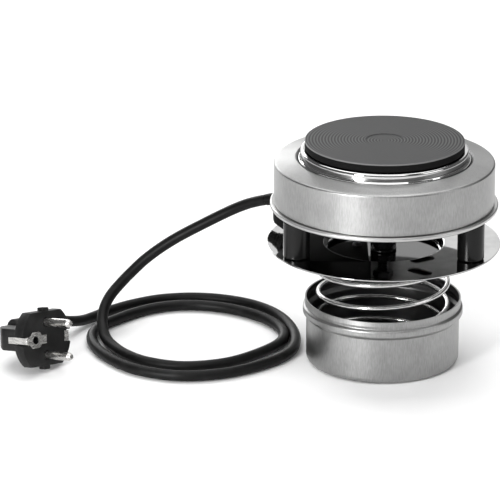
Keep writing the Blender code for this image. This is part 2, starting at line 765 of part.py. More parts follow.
def cord_gland(finish):
    """The strain relief: a barrel in the cover's wall, a flange and a tapered snout."""
    profile = [
        (0.0, GLAND_INNER), (GLAND_BARREL_R, GLAND_INNER), (GLAND_BARREL_R, GLAND_FLANGE),
        (GLAND_FLANGE_R, GLAND_FLANGE), (GLAND_FLANGE_R, GLAND_FLANGE + 2.0),
        (GLAND_FLANGE_R - 1.0, GLAND_FLANGE + 2.0), (GLAND_TIP_R, GLAND_OUTER), (0.0, GLAND_OUTER),
    ]
    made = turned("cord_gland", list(reversed(profile)), finish, 20)
    made.matrix_world = gland_frame()
    return made


def wires(paint):
    cores = (
        ("core_live", "brown", ((56.8, -2.4, 86.5), (52.0, -4.0, 86.6), (46.0, -7.6, 86.4),
                                (39.4, -9.0, 86.2))),
        ("core_neutral", "blue", ((56.8, 2.4, 86.5), (52.0, 4.0, 86.6), (46.0, 5.6, 86.4),
                                  (39.4, 7.0, 86.2))),
        ("core_earth", "green", ((56.8, 0.0, 89.2), (54.0, 3.6, 89.6), (51.0, 9.0, 88.2),
                                 (48.6, 13.0, 87.2), (48.0, 14.5, 88.2), (48.0, 14.5, 90.2))),
        ("wire_neutral", "blue", ((26.6, -8.0, 86.2), (23.0, -7.6, 86.6), (20.6, -4.6, 89.6),
                                  (20.4, -4.0, 93.0), (21.6, -4.4, 96.6), (24.6, -5.6, 97.4),
                                  (26.0, -6.0, 98.6), (26.0, -6.0, 100.2))),
        ("wire_live", "brown", ((26.6, 8.0, 86.2), (22.0, 7.0, 87.0), (18.6, 3.6, 90.6),
                                (16.8, 1.0, 95.6), (11.0, -8.0, 97.6), (0.0, -13.0, 98.4),
                                (-11.0, -12.0, 99.4), (-19.6, -7.0, 101.8),
                                (-23.4, -4.2, 104.4), (-24.0, -4.0, 106.5))),
        ("wire_link", "brown", ((-24.0, 4.0, 106.5), (-23.4, 4.4, 104.0), (-18.6, 9.0, 101.0),
                                (-8.0, 14.0, 99.4), (8.0, 14.6, 98.6), (19.0, 12.0, 97.6),
                                (24.8, 7.6, 97.2), (26.0, 6.0, 98.4), (26.0, 6.0, 100.2))),
    )
    for name, colour, route in cores:
        tube(name, [outlet(*place) for place in route], WIRE_R, paint[colour], 1)


# ---------------------------------------------------------------- cord and plug

def plug_frame():
    """An empty with X towards the earth hole, Y along the pins and Z up between the pins."""
    empty = bpy.data.objects.new("plug_frame", None)
    collection(PARTS).objects.link(empty)
    turn = Matrix.Rotation(math.radians(PLUG_YAW), 4, "Z")
    tilt = Matrix.Rotation(math.radians(PLUG_PITCH), 4, "X")
    roll = Matrix.Rotation(math.radians(PLUG_ROLL), 4, "Y")
    empty.matrix_world = Matrix.Translation(PLUG_PLACE) @ turn @ tilt @ roll
    bpy.context.view_layer.update()
    return empty


def face_frame():
    """Axes of an outline drawn on the plug's face as (x, z), extruded towards the back."""
    return Matrix.Rotation(math.pi / 2, 4, "X")


def face_outline():
    """A circle with a flat above and below."""
    reach = math.degrees(math.asin(PLUG_FLAT / PLUG_FACE_R))
    side = arc(0.0, 0.0, PLUG_FACE_R, -reach, reach, 8)
    return side + [(-x, -z) for x, z in side]


def plug_body(frame, finish):
    face = prism("plug_body", face_outline(), 0.0, PLUG_FACE_DEPTH, finish, face_frame(), frame)
    size = (PLUG_LUG_W, PLUG_LUG_DEPTH, 2.0 * PLUG_LUG)
    lugs = block("plug_lugs", size, (0.0, -0.3 - PLUG_LUG_DEPTH / 2.0, 0.0), None, 0.0, frame)
    boolean(face, as_cutter(lugs), "UNION")
    grip = [
        (16.3, -6.0), (16.3, -20.0), (9.0, -28.4), (-6.6, -28.4), (-7.4, -20.8),
        (-12.5, -19.5), (-16.0, -6.0),
    ]
    handle = prism("plug_handle", list(reversed(grip)), -GRIP_HALF_H, GRIP_HALF_H, None, None, frame)
    boolean(face, as_cutter(handle), "UNION")
    sleeve = new_object("plug_sleeve", rod("plug_sleeve", SLEEVE_R, *SLEEVE_X, 16), None, frame)
    sleeve.matrix_local = sleeve_frame()
    boolean(face, as_cutter(sleeve), "UNION")
    side_slot = block("side_slot", (8.0, 9.0, 5.2), (20.5, -4.0, 0.0), None, 0.0, frame)
    boolean(face, as_cutter(side_slot), "DIFFERENCE")
    far_slot = block("far_slot", (8.0, 9.0, 7.0), (-20.5, -4.0, 0.0), None, 0.0, frame)
    boolean(face, as_cutter(far_slot), "DIFFERENCE")
    for height in (PIN_HALF_SPACING, -PIN_HALF_SPACING):
        face_hole(face, frame, 0.0, height, PIN_R + GAP, 5.5)
    face_hole(face, frame, EARTH_OFFSET, 0.0, EARTH_HOLE_R, 6.0)
    return face


def sleeve_frame():
    turn = Matrix.Rotation(math.pi / 2, 4, "Y")
    return Matrix.Translation(Vector((0.0, SLEEVE_Y, SLEEVE_Z)) * MM) @ turn


def face_hole(face, frame, x, z, radius, deep):
    label = f"face_hole_{len(face.modifiers)}"
    cutter = new_object(label, rod(label, radius, -1.0, deep, 14), None, frame)
    cutter.matrix_local = Matrix.Translation(Vector((x, 0.0, z)) * MM) @ face_frame()
    boolean(face, as_cutter(cutter), "DIFFERENCE")


def plug_pins(frame, finish):
    for name, height in (("plug_pin_upper", PIN_HALF_SPACING), ("plug_pin_lower", -PIN_HALF_SPACING)):
        tip = arc(PIN_R - 1.2, PIN_LENGTH - 1.2, 1.2, 90.0, 0.0, 3)
        profile = [(0.0, PIN_LENGTH), *tip, (PIN_R, -5.2), (0.0, -5.2)]
        made = turned(name, profile, finish, 16, parent=frame)
        along = Matrix.Rotation(-math.pi / 2, 4, "X")
        made.matrix_local = Matrix.Translation(Vector((0.0, 0.0, height)) * MM) @ along


def earth_contacts(frame, finish):
    pad = [
        (1.0, -2.5), (4.6, -2.5), (6.4, -4.6), (12.4, -4.6), (14.4, -2.4), (17.4, -1.9),
        (17.4, 1.9), (14.4, 2.4), (12.4, 4.6), (6.4, 4.6), (4.6, 2.5), (1.0, 2.5),
    ]
    near = prism("plug_earth_near", pad, -0.9, -0.3, finish, face_frame(), frame)
    side = block("near_side", (0.6, 14.6, 3.8), (17.1, -6.4, 0.0), None, 0.0, frame)
    boolean(near, as_cutter(side), "UNION")
    hole = new_object("pad_hole", rod("pad_hole", EARTH_HOLE_R, -2.0, 1.0, 14), None, frame)
    hole.matrix_local = Matrix.Translation(Vector((EARTH_OFFSET, 0.0, 0.0)) * MM) @ face_frame()
    boolean(near, as_cutter(hole), "DIFFERENCE")
    far = block("plug_earth_far", (3.4, 0.6, 6.0), (-15.7, 0.6, 0.0), finish, 0.0, frame)
    fold = block("far_side", (0.6, 7.0, 6.0), (-17.1, -2.6, 0.0), None, 0.0, frame)
    boolean(far, as_cutter(fold), "UNION")


def plug_boot(frame, finish):
    profile = [
        (0.0, -BOOT_START), (SLEEVE_R - 0.3, -BOOT_START), (4.0, -BOOT_END), (0.0, -BOOT_END),
    ]
    made = turned("plug_boot", list(reversed(profile)), finish, 20, parent=frame)
    turn = Matrix.Rotation(-math.pi / 2, 4, "Y")
    made.matrix_local = Matrix.Translation(Vector((0.0, SLEEVE_Y, SLEEVE_Z)) * MM) @ turn


def cord(finish):
    return tube("cord", smooth_path(CORD_ROUTE, CORD_POINTS), CORD_R, finish)


def build():
    clear_scene()
    paint = palette()
    can = base_can(paint["satin"])
    spring(paint["wire"])
    lower_clips(paint["zinc"])
    upper_clips(paint["zinc"])
    lower = clip_places(LOWER_CLIP_FOOT + CLIP_RIVET, CLIP_TURNS)
    drill(can, 1.7, -1.0, 2.0, [(place.x, place.y) for place in lower])

    shield = heat_shield(paint["polished"])
    above = clip_places(UPPER_CLIP_FOOT - CLIP_RIVET, [spring_turns() - t for t in CLIP_TURNS])
    drill(shield, 1.7, 69.0, 72.0, [(place.x, place.y) for place in above])
    below_posts = [polar(POST_CIRCLE_R, degrees) / MM for degrees in POST_ANGLES]
    drill(shield, 2.1, 69.0, 72.0, [(place.x, place.y) for place in below_posts])
    posts(paint["post"], paint["zinc"])
    centre_fixings(paint["zinc"], paint["post"])

    clamp_bracket(paint["zinc"])
    hot_plate(paint["cast"])
    overflow_ring(paint["polished"])
    heating_coil(paint["zinc"])
    coil_insulation(paint["ceramic"])
    coil_cover(paint["zinc"])
    terminal_insulator(paint["ceramic"])
    terminal_pins(paint["nickel"])
    thermal_cutout(paint["post"])
    housing(paint["satin"])
    bottom_pan(paint["satin"])

    terminal_cover(paint["post"])
    cover_screws(paint["zinc"])
    terminal_block(paint["ceramic"])
    cord_gland(paint["rubber"])
    wires(paint)

    cord(paint["rubber"])
    frame = plug_frame()
    plug_body(frame, paint["rubber"])
    plug_pins(frame, paint["nickel"])
    earth_contacts(frame, paint["nickel"])
    plug_boot(frame, paint["rubber"])


build()
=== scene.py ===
# %% [markdown]
# # A hot plate burner on a spring
# A cast hot plate sits in a drawn steel housing. The housing stands on three posts over a polished
# disc, a coil spring carries the disc in a can, and a cord with an angled plug lies beside it.
# The frame below holds every part at its true size. This lesson dresses that frame: it makes the
# surfaces that show, gives every part a finish, and never moves or resizes anything.

import json
import math

import bmesh
import bpy
from mathutils import Matrix, Vector

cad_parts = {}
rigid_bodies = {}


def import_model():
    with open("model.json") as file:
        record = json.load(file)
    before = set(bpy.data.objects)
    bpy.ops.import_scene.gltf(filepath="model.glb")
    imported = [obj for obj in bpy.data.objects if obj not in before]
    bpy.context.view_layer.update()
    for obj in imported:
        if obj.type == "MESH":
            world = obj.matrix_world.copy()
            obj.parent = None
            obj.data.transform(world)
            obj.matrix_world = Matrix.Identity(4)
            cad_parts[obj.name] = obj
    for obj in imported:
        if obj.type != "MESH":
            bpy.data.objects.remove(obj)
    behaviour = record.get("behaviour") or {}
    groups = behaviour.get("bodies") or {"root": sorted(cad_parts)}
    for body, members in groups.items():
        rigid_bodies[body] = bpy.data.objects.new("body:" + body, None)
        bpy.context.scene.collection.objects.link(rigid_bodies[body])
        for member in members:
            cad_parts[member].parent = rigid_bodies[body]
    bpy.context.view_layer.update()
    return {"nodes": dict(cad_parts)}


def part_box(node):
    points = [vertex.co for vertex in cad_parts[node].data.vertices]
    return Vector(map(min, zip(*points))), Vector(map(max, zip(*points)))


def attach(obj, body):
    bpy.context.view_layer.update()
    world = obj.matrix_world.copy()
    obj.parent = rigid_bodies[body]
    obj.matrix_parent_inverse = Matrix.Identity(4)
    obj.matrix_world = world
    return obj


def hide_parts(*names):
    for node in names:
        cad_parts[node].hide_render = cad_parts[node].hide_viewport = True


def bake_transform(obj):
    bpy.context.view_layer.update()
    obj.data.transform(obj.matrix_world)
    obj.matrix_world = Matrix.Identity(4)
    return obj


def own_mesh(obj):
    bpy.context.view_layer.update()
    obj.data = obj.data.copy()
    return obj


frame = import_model()

# %% [markdown]
# ## The camera
# A long lens from two metres away keeps the round parts from swelling, and a view from about
# twenty degrees above shows the plate's top and the side of the can together. The camera comes
# first, because a free cord is laid out to be seen from it.

# %% Place the camera
MM = 0.001
LOOK_DOWN = math.radians(19.75)
CAMERA_DISTANCE = 2.09
AIM = Vector((-0.0762, 0.0, 0.0653))

camera_data = bpy.data.cameras.new("camera")
camera_data.lens = 263.5
camera_data.sensor_width = 36.0
camera_data.clip_start = 0.05
camera_data.clip_end = 50.0
camera = bpy.data.objects.new("camera", camera_data)
bpy.context.scene.collection.objects.link(camera)
gaze = Vector((0.0, math.cos(LOOK_DOWN), -math.sin(LOOK_DOWN)))
camera.location = AIM - gaze * CAMERA_DISTANCE
camera.rotation_euler = (math.pi / 2 - LOOK_DOWN, 0.0, 0.0)
bpy.context.scene.camera = camera
bpy.context.scene.view_settings.view_transform = "Standard"
print("camera at", tuple(round(value, 3) for value in camera.location))

# %% [markdown]
# ## Helpers for meshes
# A spun sheet part is an outline turned about the upright axis, so one helper turns every such
# part. Real sheet metal has no sharp corners, so a second helper rounds an outline's corners
# before it is turned. A third fixes a piece's modifiers into its mesh.

# %% Fix modifiers into a mesh
def put(name, data):
    made = bpy.data.objects.new(name, data)
    bpy.context.scene.collection.objects.link(made)
    return made


def settle(made, sharp=35.0):
    """Bakes an object's modifiers and its place into its mesh, and smooths all but sharp edges."""
    bpy.context.view_layer.update()
    seen = made.evaluated_get(bpy.context.evaluated_depsgraph_get())
    mesh = bpy.data.meshes.new_from_object(seen)
    mesh.transform(made.matrix_world)
    made.modifiers.clear()
    made.data = mesh
    made.matrix_world = Matrix.Identity(4)
    mesh.shade_smooth()
    mesh.set_sharp_from_angle(angle=math.radians(sharp))
    return made


def drop(*guides):
    for guide in guides:
        bpy.data.objects.remove(guide, do_unlink=True)


# %% Round an outline's corners
def soften(corners, closed=False, count=5):
    """Each corner is (across, up) or (across, up, radius). Gives the outline with round corners.

    A point just before and just after each round keeps the flats beside it flat when shaded."""
    outline = []
    last = len(corners) - 1
    for index, corner in enumerate(corners):
        here = Vector(corner[:2])
        if len(corner) == 2 or (not closed and index in (0, last)):
            outline.append(tuple(here))
            continue
        before = Vector(corners[index - 1][:2]) - here
        after = Vector(corners[(index + 1) % len(corners)][:2]) - here
        half = before.angle(after) / 2
        cut = min(corner[2] / math.tan(half), 0.44 * before.length, 0.44 * after.length)
        radius = cut * math.tan(half)
        middle = here + (before.normalized() + after.normalized()).normalized() * radius / math.sin(half)
        start = here + before.normalized() * cut - middle
        end = here + after.normalized() * cut - middle
        sweep = math.pi - 2 * half
        outline.append(tuple(here + before * min(1.0, cut * 1.12 / before.length)))
        for step in range(count + 1):
            turn = sweep * step / count
            spot = middle + (start * math.sin(sweep - turn) + end * math.sin(turn)) / math.sin(sweep)
            outline.append(tuple(spot))
        outline.append(tuple(here + after * min(1.0, cut * 1.12 / after.length)))
    return outline


# %% Turn an outline into a round part
def turned(name, corners, wall=0.0, closed=False, steps=144, sharp=35.0):
    """Turns an outline of (radius, height) in millimetres, and thickens it on one side for sheet."""
    outline = soften(corners, closed)
    edges = [(index, index + 1) for index in range(len(outline) - 1)]
    if closed:
        edges.append((len(outline) - 1, 0))
    mesh = bpy.data.meshes.new(name)
    mesh.from_pydata([(across * MM, 0.0, up * MM) for across, up in outline], edges, [])
    made = put(name, mesh)
    screw = made.modifiers.new("turn", "SCREW")
    screw.steps = steps
    screw.render_steps = steps
    screw.use_merge_vertices = True
    screw.merge_threshold = 0.000005
    if wall:
        sheet = made.modifiers.new("sheet", "SOLIDIFY")
        sheet.thickness = wall * MM
        sheet.offset = -1.0
        sheet.use_even_offset = True
    return settle(made, sharp)


def cut(made, cutter, operation="DIFFERENCE"):
    """Cuts or joins two solids, and removes the second."""
    step = made.modifiers.new("cut", "BOOLEAN")
    step.operation = operation
    step.solver = "EXACT"
    step.object = cutter
    settle(made)
    drop(cutter)
    return made


print("helpers ready")


# %% Make a slab from a flat outline
def slab(name, corners, low, high, rounding=0.0, place=None, segments=3):
    """A flat outline of (x, y) in millimetres, given a thickness and rounded edges."""
    outline = soften(corners, closed=True)
    shape = bmesh.new()
    verts = [shape.verts.new((x * MM, y * MM, low * MM)) for x, y in outline]
    base = shape.faces.new(verts)
    lift = bmesh.ops.extrude_face_region(shape, geom=[base])
    raised = [item for item in lift["geom"] if isinstance(item, bmesh.types.BMVert)]
    bmesh.ops.translate(shape, vec=(0.0, 0.0, (high - low) * MM), verts=raised)
    bmesh.ops.recalc_face_normals(shape, faces=shape.faces)
    mesh = bpy.data.meshes.new(name)
    shape.to_mesh(mesh)
    shape.free()
    made = put(name, mesh)
    if rounding:
        edge = made.modifiers.new("edges", "BEVEL")
        edge.width = rounding * MM
        edge.segments = segments
        edge.limit_method = "ANGLE"
        edge.angle_limit = math.radians(50.0)
    made.matrix_world = place or Matrix.Identity(4)
    return settle(made)


# %% [markdown]
# ## Helpers for node trees
# Shader maths and geometry maths use the same Math nodes. A small class wraps one socket, so that
# `1 - mask * 0.5` adds its nodes by itself, and one method of the tree makes any other node.

# %% A socket that does maths
class Wire:
    """One output of a node tree, which can be added, multiplied and so on."""

    def __init__(self, graph, socket):
        self.graph = graph
        self.socket = socket

    def math(self, operation, *others):
        sockets = dict(enumerate([self, *others]))
        return self.graph.add("ShaderNodeMath", {"operation": operation}, sockets)

    def __add__(self, other):
        return self.math("ADD", other)

    def __sub__(self, other):
        return self.math("SUBTRACT", other)

    def __rsub__(self, other):
        return self.graph.add("ShaderNodeMath", {"operation": "SUBTRACT"}, {0: other, 1: self})

    def __mul__(self, other):
        return self.math("MULTIPLY", other)

    def __truediv__(self, other):
        return self.math("DIVIDE", other)

    def __pow__(self, other):
        return self.math("POWER", other)

    __radd__ = __add__
    __rmul__ = __mul__

    def between(self, low, high):
        """0 below low, 1 above high, and a smooth rise from one to the other."""
        ease = {"interpolation_type": "SMOOTHSTEP"}
        sockets = {"Value": self, "From Min": low, "From Max": high}
        return self.graph.add("ShaderNodeMapRange", ease, sockets)


# %% A tree that makes nodes
class Graph:
    """A node tree, and one way to add any node to it."""

    def __init__(self, tree):
        self.tree = tree

    def add(self, kind, settings=None, sockets=None, out=0):
        """Makes a node, sets it up, fills its sockets and gives one of its outputs."""
        node = self.tree.nodes.new(kind)
        for name, value in (settings or {}).items():
            setattr(node, name, value)
        for name, value in (sockets or {}).items():
            self.feed(node.inputs[name], value)
        return Wire(self, node.outputs[out]) if node.outputs else None

    def feed(self, socket, value):
        if isinstance(value, Wire):
            self.tree.links.new(value.socket, socket)
        else:
            socket.default_value = value

    def noise(self, scale, detail=2.0, stretch=(1.0, 1.0, 1.0)):
        """Noise on object coordinates, finer along an axis where its stretch is larger."""
        place = self.add("ShaderNodeTexCoord", out="Object")
        scaled = self.add("ShaderNodeVectorMath", {"operation": "MULTIPLY"}, {0: place, 1: stretch})
        return self.add("ShaderNodeTexNoise", None, {"Vector": scaled, "Scale": scale, "Detail": detail})

    def axes(self, kind="Object"):
        """X, Y and Z of the place, or of the surface's normal."""
        place = self.add("ShaderNodeTexCoord", out=kind)
        return [self.add("ShaderNodeSeparateXYZ", None, {0: place}, out) for out in range(3)]

    def blend(self, mask, low, high):
        """A colour between two colours. A Mix node keeps its colour sockets at these indexes."""
        factor, first, second, result = 0, 6, 7, 2
        sockets = {factor: mask, first: self.colour(low), second: self.colour(high)}
        return self.add("ShaderNodeMix", {"data_type": "RGBA"}, sockets, result)

    def colour(self, shade):
        return shade if isinstance(shade, Wire) else (*shade, 1.0)


# %% Start a material
def start_material(name, slot_colour):
    """A material with its shader, and the colour that a simple view shows."""
    made = bpy.data.materials.new(name)
    made.use_nodes = True
    made.diffuse_color = (*slot_colour, 1.0)
    return made, Graph(made.node_tree)


def fill_shader(material, graph, values, bump=None, strength=0.3, depth=0.0001):
    """Sets the shader's sockets, and adds a bump where a height is given."""
    shader = material.node_tree.nodes["Principled BSDF"]
    for name, value in values.items():
        graph.feed(shader.inputs[name], value)
    if bump is not None:
        sockets = {"Height": bump, "Strength": strength, "Distance": depth}
        graph.feed(shader.inputs["Normal"], graph.add("ShaderNodeBump", None, sockets))
    return material


print("node helpers ready")

# %% [markdown]
# ## Finishes: metals
# Drawn and brushed steel is never one flat grey. Its grain runs the way the sheet was drawn, and
# it changes both the gloss and the shade a little. Noise stretched along one axis gives that grain.
# The can's inside, the disc's well and the pan's underside get painted shade: their colour is set
# darker, for looks.

# %% One function for the simple finishes
METAL = {"Metallic": 1.0}


def mottled(name, slot_colour, grain, colours, gloss, bump, sockets, patches=None, spread=None):
    """A finish whose grain changes its gloss, and whose grain or patches change its shade.

    grain and patches are noise values, gloss is a roughness and how much the grain adds to it."""
    material, graph = start_material(name, slot_colour)
    fine = graph.noise(*grain)
    broad = graph.noise(*patches) if patches else fine
    mask = broad.between(*spread) if spread else broad
    return fill_shader(material, graph, {
        "Base Color": graph.blend(mask, *colours), "Roughness": gloss[0] + fine * gloss[1], **sockets,
    }, fine, *bump)


# %% Satin, dulled and polished sheet
PAN_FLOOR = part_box("bottom_pan")[0].z
WELL_EDGE = 0.0310


def satin_sheet():
    """Drawn steel with a fine upright grain, and painted shade on the can's inside: its inner wall and
    floor get a darker colour.
    """
    material, graph = start_material("satin_sheet", (0.62, 0.62, 0.61))
    grain = graph.noise(1700.0, 3.0, (1.0, 1.0, 0.16))
    cloud = graph.noise(60.0, 4.0)
    shade = grain * 0.6 + cloud * 0.4
    x, y, z = graph.axes()
    nx, ny, nz = graph.axes("Normal")
    # Painted shade: these masks pick faces that look in towards the axis, and upward faces low on the
    # can's floor.
    wall = (0.0 - (nx * x + ny * y)).between(0.001, 0.010)
    bottom = nz.between(0.5, 0.9) * (1.0 - z.between(0.008, 0.010))
    outside = graph.blend(shade.between(0.30, 0.70), (0.26, 0.26, 0.258), (0.35, 0.35, 0.348))
    return fill_shader(material, graph, {
        # The dark colour here is painted shade on the can's inside, not the steel's own colour.
        "Base Color": graph.blend((wall + bottom).between(0.0, 1.0), outside, (0.13, 0.13, 0.13)),
        "Roughness": 0.30 + grain * 0.14,
        "Metallic": 1.0,
    }, grain, 0.22, 0.00005)


def pan_sheet():
    """The same steel with painted shade on the pan's underside: a very dark colour, mottled at random,
    and the rim above the floor left at a plain steel colour.
    """
    material, graph = start_material("shaded_underside_sheet", (0.40, 0.40, 0.39))
    cloud = graph.noise(120.0, 5.0)
    edge = graph.axes()[2].between(PAN_FLOOR + 0.0001, PAN_FLOOR + 0.0006)
    # Painted shade: the underside's colour is set very dark; the cloud only varies it at random.
    painted_underside_shade = graph.blend(cloud.between(0.35, 0.7), (0.075, 0.075, 0.074), (0.13, 0.13, 0.128))
    return fill_shader(material, graph, {
        "Base Color": graph.blend(edge, painted_underside_shade, (0.46, 0.46, 0.455)),
        "Roughness": 0.30 + cloud * 0.2 - edge * 0.08,
        "Metallic": 1.0,
    }, cloud, 0.2, 0.00005)


def polished_sheet():
    """Bright sheet with the haze and the faint rings that polishing leaves, and painted shade in the
    middle well, whose colour is set dark.
    """
    material, graph = start_material("polished_sheet", (0.70, 0.70, 0.70))
    x, y, _ = graph.axes()
    radius = (x * x + y * y) ** 0.5
    rings = graph.add("ShaderNodeTexNoise", {"noise_dimensions": "1D"},
                      {"W": radius, "Scale": 1400.0, "Detail": 2.0})
    haze = graph.noise(55.0, 4.0)
    # Painted shade: inside the well's edge the colour is set dark.
    painted_well_shade = 1.0 - radius.between(WELL_EDGE, WELL_EDGE + 0.0006)
    bright = graph.blend(haze.between(0.35, 0.7), (0.46, 0.46, 0.46), (0.55, 0.55, 0.545))
    return fill_shader(material, graph, {
        "Base Color": graph.blend(painted_well_shade, bright, (0.09, 0.09, 0.09)),
        "Roughness": 0.02 + haze * 0.03 + rings * 0.02,
        "Metallic": 1.0,
    }, rings, 0.05, 0.00002)


# %% The cast plate
PLATE_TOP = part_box("hot_plate")[1].z
PLATE_RADIUS = 45.3
GROOVE_PITCH = 0.0018


def turned_iron():
    """Cast iron: turned rings on the top with painted sheen, a painted highlight ring on the top edge,
    and a near-black side.
    """
    material, graph = start_material("turned_iron", (0.055, 0.055, 0.057))
    x, y, z = graph.axes()
    radius = (x * x + y * y) ** 0.5
    ring = (radius * (2.0 * math.pi / GROOVE_PITCH)).math("SINE") * 0.5 + 0.5
    fine = (radius * (6.0 * math.pi / GROOVE_PITCH)).math("SINE") * 0.5 + 0.5
    # Painted sheen: the turned rings are real all round, but their light and dark are painted only at
    # the left and right, where light catches the grooves.
    across = (x.math("ABSOLUTE") / (radius + 0.0001)).between(0.72, 0.98)
    top = z.between(PLATE_TOP - 0.0009, PLATE_TOP - 0.0005)
    pores = graph.noise(1500.0, 3.0)
    tone = 0.5 + (ring - 0.5) * across + (fine - 0.5) * 0.25 + (pores - 0.5) * 0.4
    face = graph.blend(tone, (0.006, 0.006, 0.006), (0.080, 0.080, 0.081))
    # Painted highlight: a lighter ring painted on the top face's outer edge.
    edge = radius.between((PLATE_RADIUS - 0.7) * MM, (PLATE_RADIUS - 0.3) * MM)
    shade = graph.blend(top, (0.002, 0.002, 0.002), face)
    painted_edge_highlight = graph.blend(top * edge * 0.4, shade, (0.25, 0.25, 0.25))
    return fill_shader(material, graph, {
        "Base Color": painted_edge_highlight,
        "Roughness": 0.84 - top * 0.36 + pores * 0.14,
        "Specular IOR Level": 0.20,
    }, (fine * top + pores * 0.4), 0.35, 0.00006)


# %% [markdown]
# ## Finishes: plastic, rubber and ceramic
# Moulded plastic copies the fine texture of its mould. It looks black from afar, but the gloss
# changes over that texture, and this is what the eye reads as plastic and not as paint.


# %% The wires' sleeves
def sleeve(name, shade, stripe=None):
    """A wire's coloured sleeve, with a second colour in bands on the earth wire."""
    material, graph = start_material(name, shade)
    mottle = graph.noise(600.0, 3.0)
    dark = tuple(value * 0.75 for value in shade)
    colour = graph.blend(mottle, dark, shade)
    if stripe is not None:
        x, y, z = graph.axes()
        band = ((x - y + z) * 1300.0).math("SINE").between(-0.15, 0.15)
        colour = graph.blend(band, colour, stripe)
    return fill_shader(material, graph, {
        "Base Color": colour,
        "Roughness": 0.38 + mottle * 0.15,
    }, mottle, 0.1, 0.00005)


# %% Make the finishes
SATIN = satin_sheet()
POLISHED = polished_sheet()
IRON = turned_iron()
SHADED_UNDERSIDE = pan_sheet()
ZINC = mottled("zinc_plate", (0.55, 0.56, 0.58), (420.0, 4.0),
               ((0.30, 0.305, 0.315), (0.46, 0.46, 0.47)), (0.26, 0.22), (0.15, 0.00005), METAL,
               spread=(0.35, 0.65))
OXIDE = mottled("black_oxide", (0.05, 0.05, 0.05), (500.0, 3.0),
                ((0.020, 0.020, 0.021), (0.050, 0.050, 0.051)), (0.22, 0.16), (0.15, 0.00005), METAL)
WIRE = mottled("spring_wire", (0.62, 0.62, 0.62), (700.0, 3.0, (1.0, 1.0, 3.0)),
               ((0.46, 0.46, 0.46), (0.68, 0.68, 0.67)), (0.12, 0.14), (0.12, 0.00005), METAL,
               spread=(0.3, 0.7))
NICKEL = mottled("nickel_plate", (0.72, 0.70, 0.66), (900.0, 3.0, (0.25, 0.25, 1.0)),
                 ((0.40, 0.395, 0.385), (0.62, 0.61, 0.59)), (0.16, 0.22), (0.15, 0.00005), METAL,
                 spread=(0.3, 0.7))
HEATED = mottled("heated_wire", (0.30, 0.27, 0.25), (800.0, 4.0),
                 ((0.16, 0.13, 0.12), (0.42, 0.38, 0.34)), (0.35, 0.30), (0.3, 0.00006), METAL,
                 spread=(0.35, 0.7))
BLACK = mottled("black_moulding", (0.020, 0.020, 0.021), (1300.0, 3.0),
                ((0.002, 0.002, 0.002), (0.006, 0.006, 0.006)), (0.20, 0.10), (0.18, 0.00008),
                {"Specular IOR Level": 0.22}, patches=(60.0, 3.0))
MATT = mottled("matt_moulding", (0.010, 0.010, 0.010), (900.0, 3.0),
               ((0.0015, 0.0015, 0.0015), (0.005, 0.005, 0.005)), (0.50, 0.20), (0.30, 0.00010),
               {"Specular IOR Level": 0.12})
SHEATH = mottled("soft_sheath", (0.018, 0.018, 0.018), (1100.0, 3.0),
                 ((0.003, 0.003, 0.003), (0.008, 0.008, 0.008)), (0.38, 0.16), (0.20, 0.00010),
                 {"Specular IOR Level": 0.15}, patches=(140.0, 5.0), spread=(0.45, 0.8))
PLUG = mottled("plug_moulding", (0.022, 0.022, 0.022), (1600.0, 2.0),
               ((0.004, 0.004, 0.004), (0.013, 0.013, 0.013)), (0.42, 0.20), (0.35, 0.00008),
               {"Specular IOR Level": 0.20}, patches=(90.0, 4.0), spread=(0.35, 0.75))
CERAMIC = mottled("ceramic", (0.80, 0.78, 0.72), (1200.0, 4.0),
                  ((0.78, 0.76, 0.70), (0.42, 0.38, 0.32)), (0.50, 0.25), (0.25, 0.00008), {},
                  spread=(0.60, 0.72))
BROWN = sleeve("brown_sleeve", (0.20, 0.07, 0.03))
BLUE = sleeve("blue_sleeve", (0.03, 0.12, 0.45))
EARTH = sleeve("earth_sleeve", (0.15, 0.45, 0.06), (0.75, 0.60, 0.04))
print(len(bpy.data.materials), "materials in the file")


# %% Dress a piece
def finish_piece(made, material, body, slot, *nodes):
    """Gives a piece its finish and its body, and hides the frame's parts that it stands for."""
    made.data.materials.clear()
    made.data.materials.append(material)
    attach(made, body)
    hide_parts(*nodes)
    print(made.name, "has", len(made.data.polygons), "faces and stands for", ", ".join(nodes))
    return made


# %% [markdown]
# ## Geometry trees
# Four things here repeat or follow a rule: a spring's coil, a tube along a path, screws on a set
# of points and the ribs of a bend relief. Each gets a tree with named sizes. A tree ends by making
# its instances real and setting the material, and the result is fixed into a plain mesh.

# %% Start a tree and run it
def start_tree(name, inputs):
    """A geometry tree with the inputs asked for. Gives the graph and a wire for each input."""
    tree = bpy.data.node_groups.new(name, "GeometryNodeTree")
    tree.interface.new_socket("Geometry", in_out="OUTPUT", socket_type="NodeSocketGeometry")
    tree.interface.new_socket("Geometry", in_out="INPUT", socket_type="NodeSocketGeometry")
    for label, kind in inputs.items():
        tree.interface.new_socket(label, in_out="INPUT", socket_type="NodeSocket" + kind)
    entry = tree.nodes.new("NodeGroupInput")
    graph = Graph(tree)
    return graph, {socket.name: Wire(graph, socket) for socket in entry.outputs if socket.name}


def end_tree(graph, geometry, material):
    real = graph.add("GeometryNodeRealizeInstances", None, {0: geometry})
    painted = graph.add("GeometryNodeSetMaterial", None, {"Geometry": real, "Material": material})
    graph.add("NodeGroupOutput", None, {0: painted})
    return graph.tree


def run_tree(made, tree, values, sharp=35.0):
    """Puts a tree on an object, sets its inputs by their identifiers and bakes the result."""
    modifier = made.modifiers.new(tree.name, "NODES")
    modifier.node_group = tree
    for item in tree.interface.items_tree:
        if item.item_type == "SOCKET" and item.in_out == "INPUT" and item.name in values:
            modifier[item.identifier] = values[item.name]
    return settle(made, sharp)


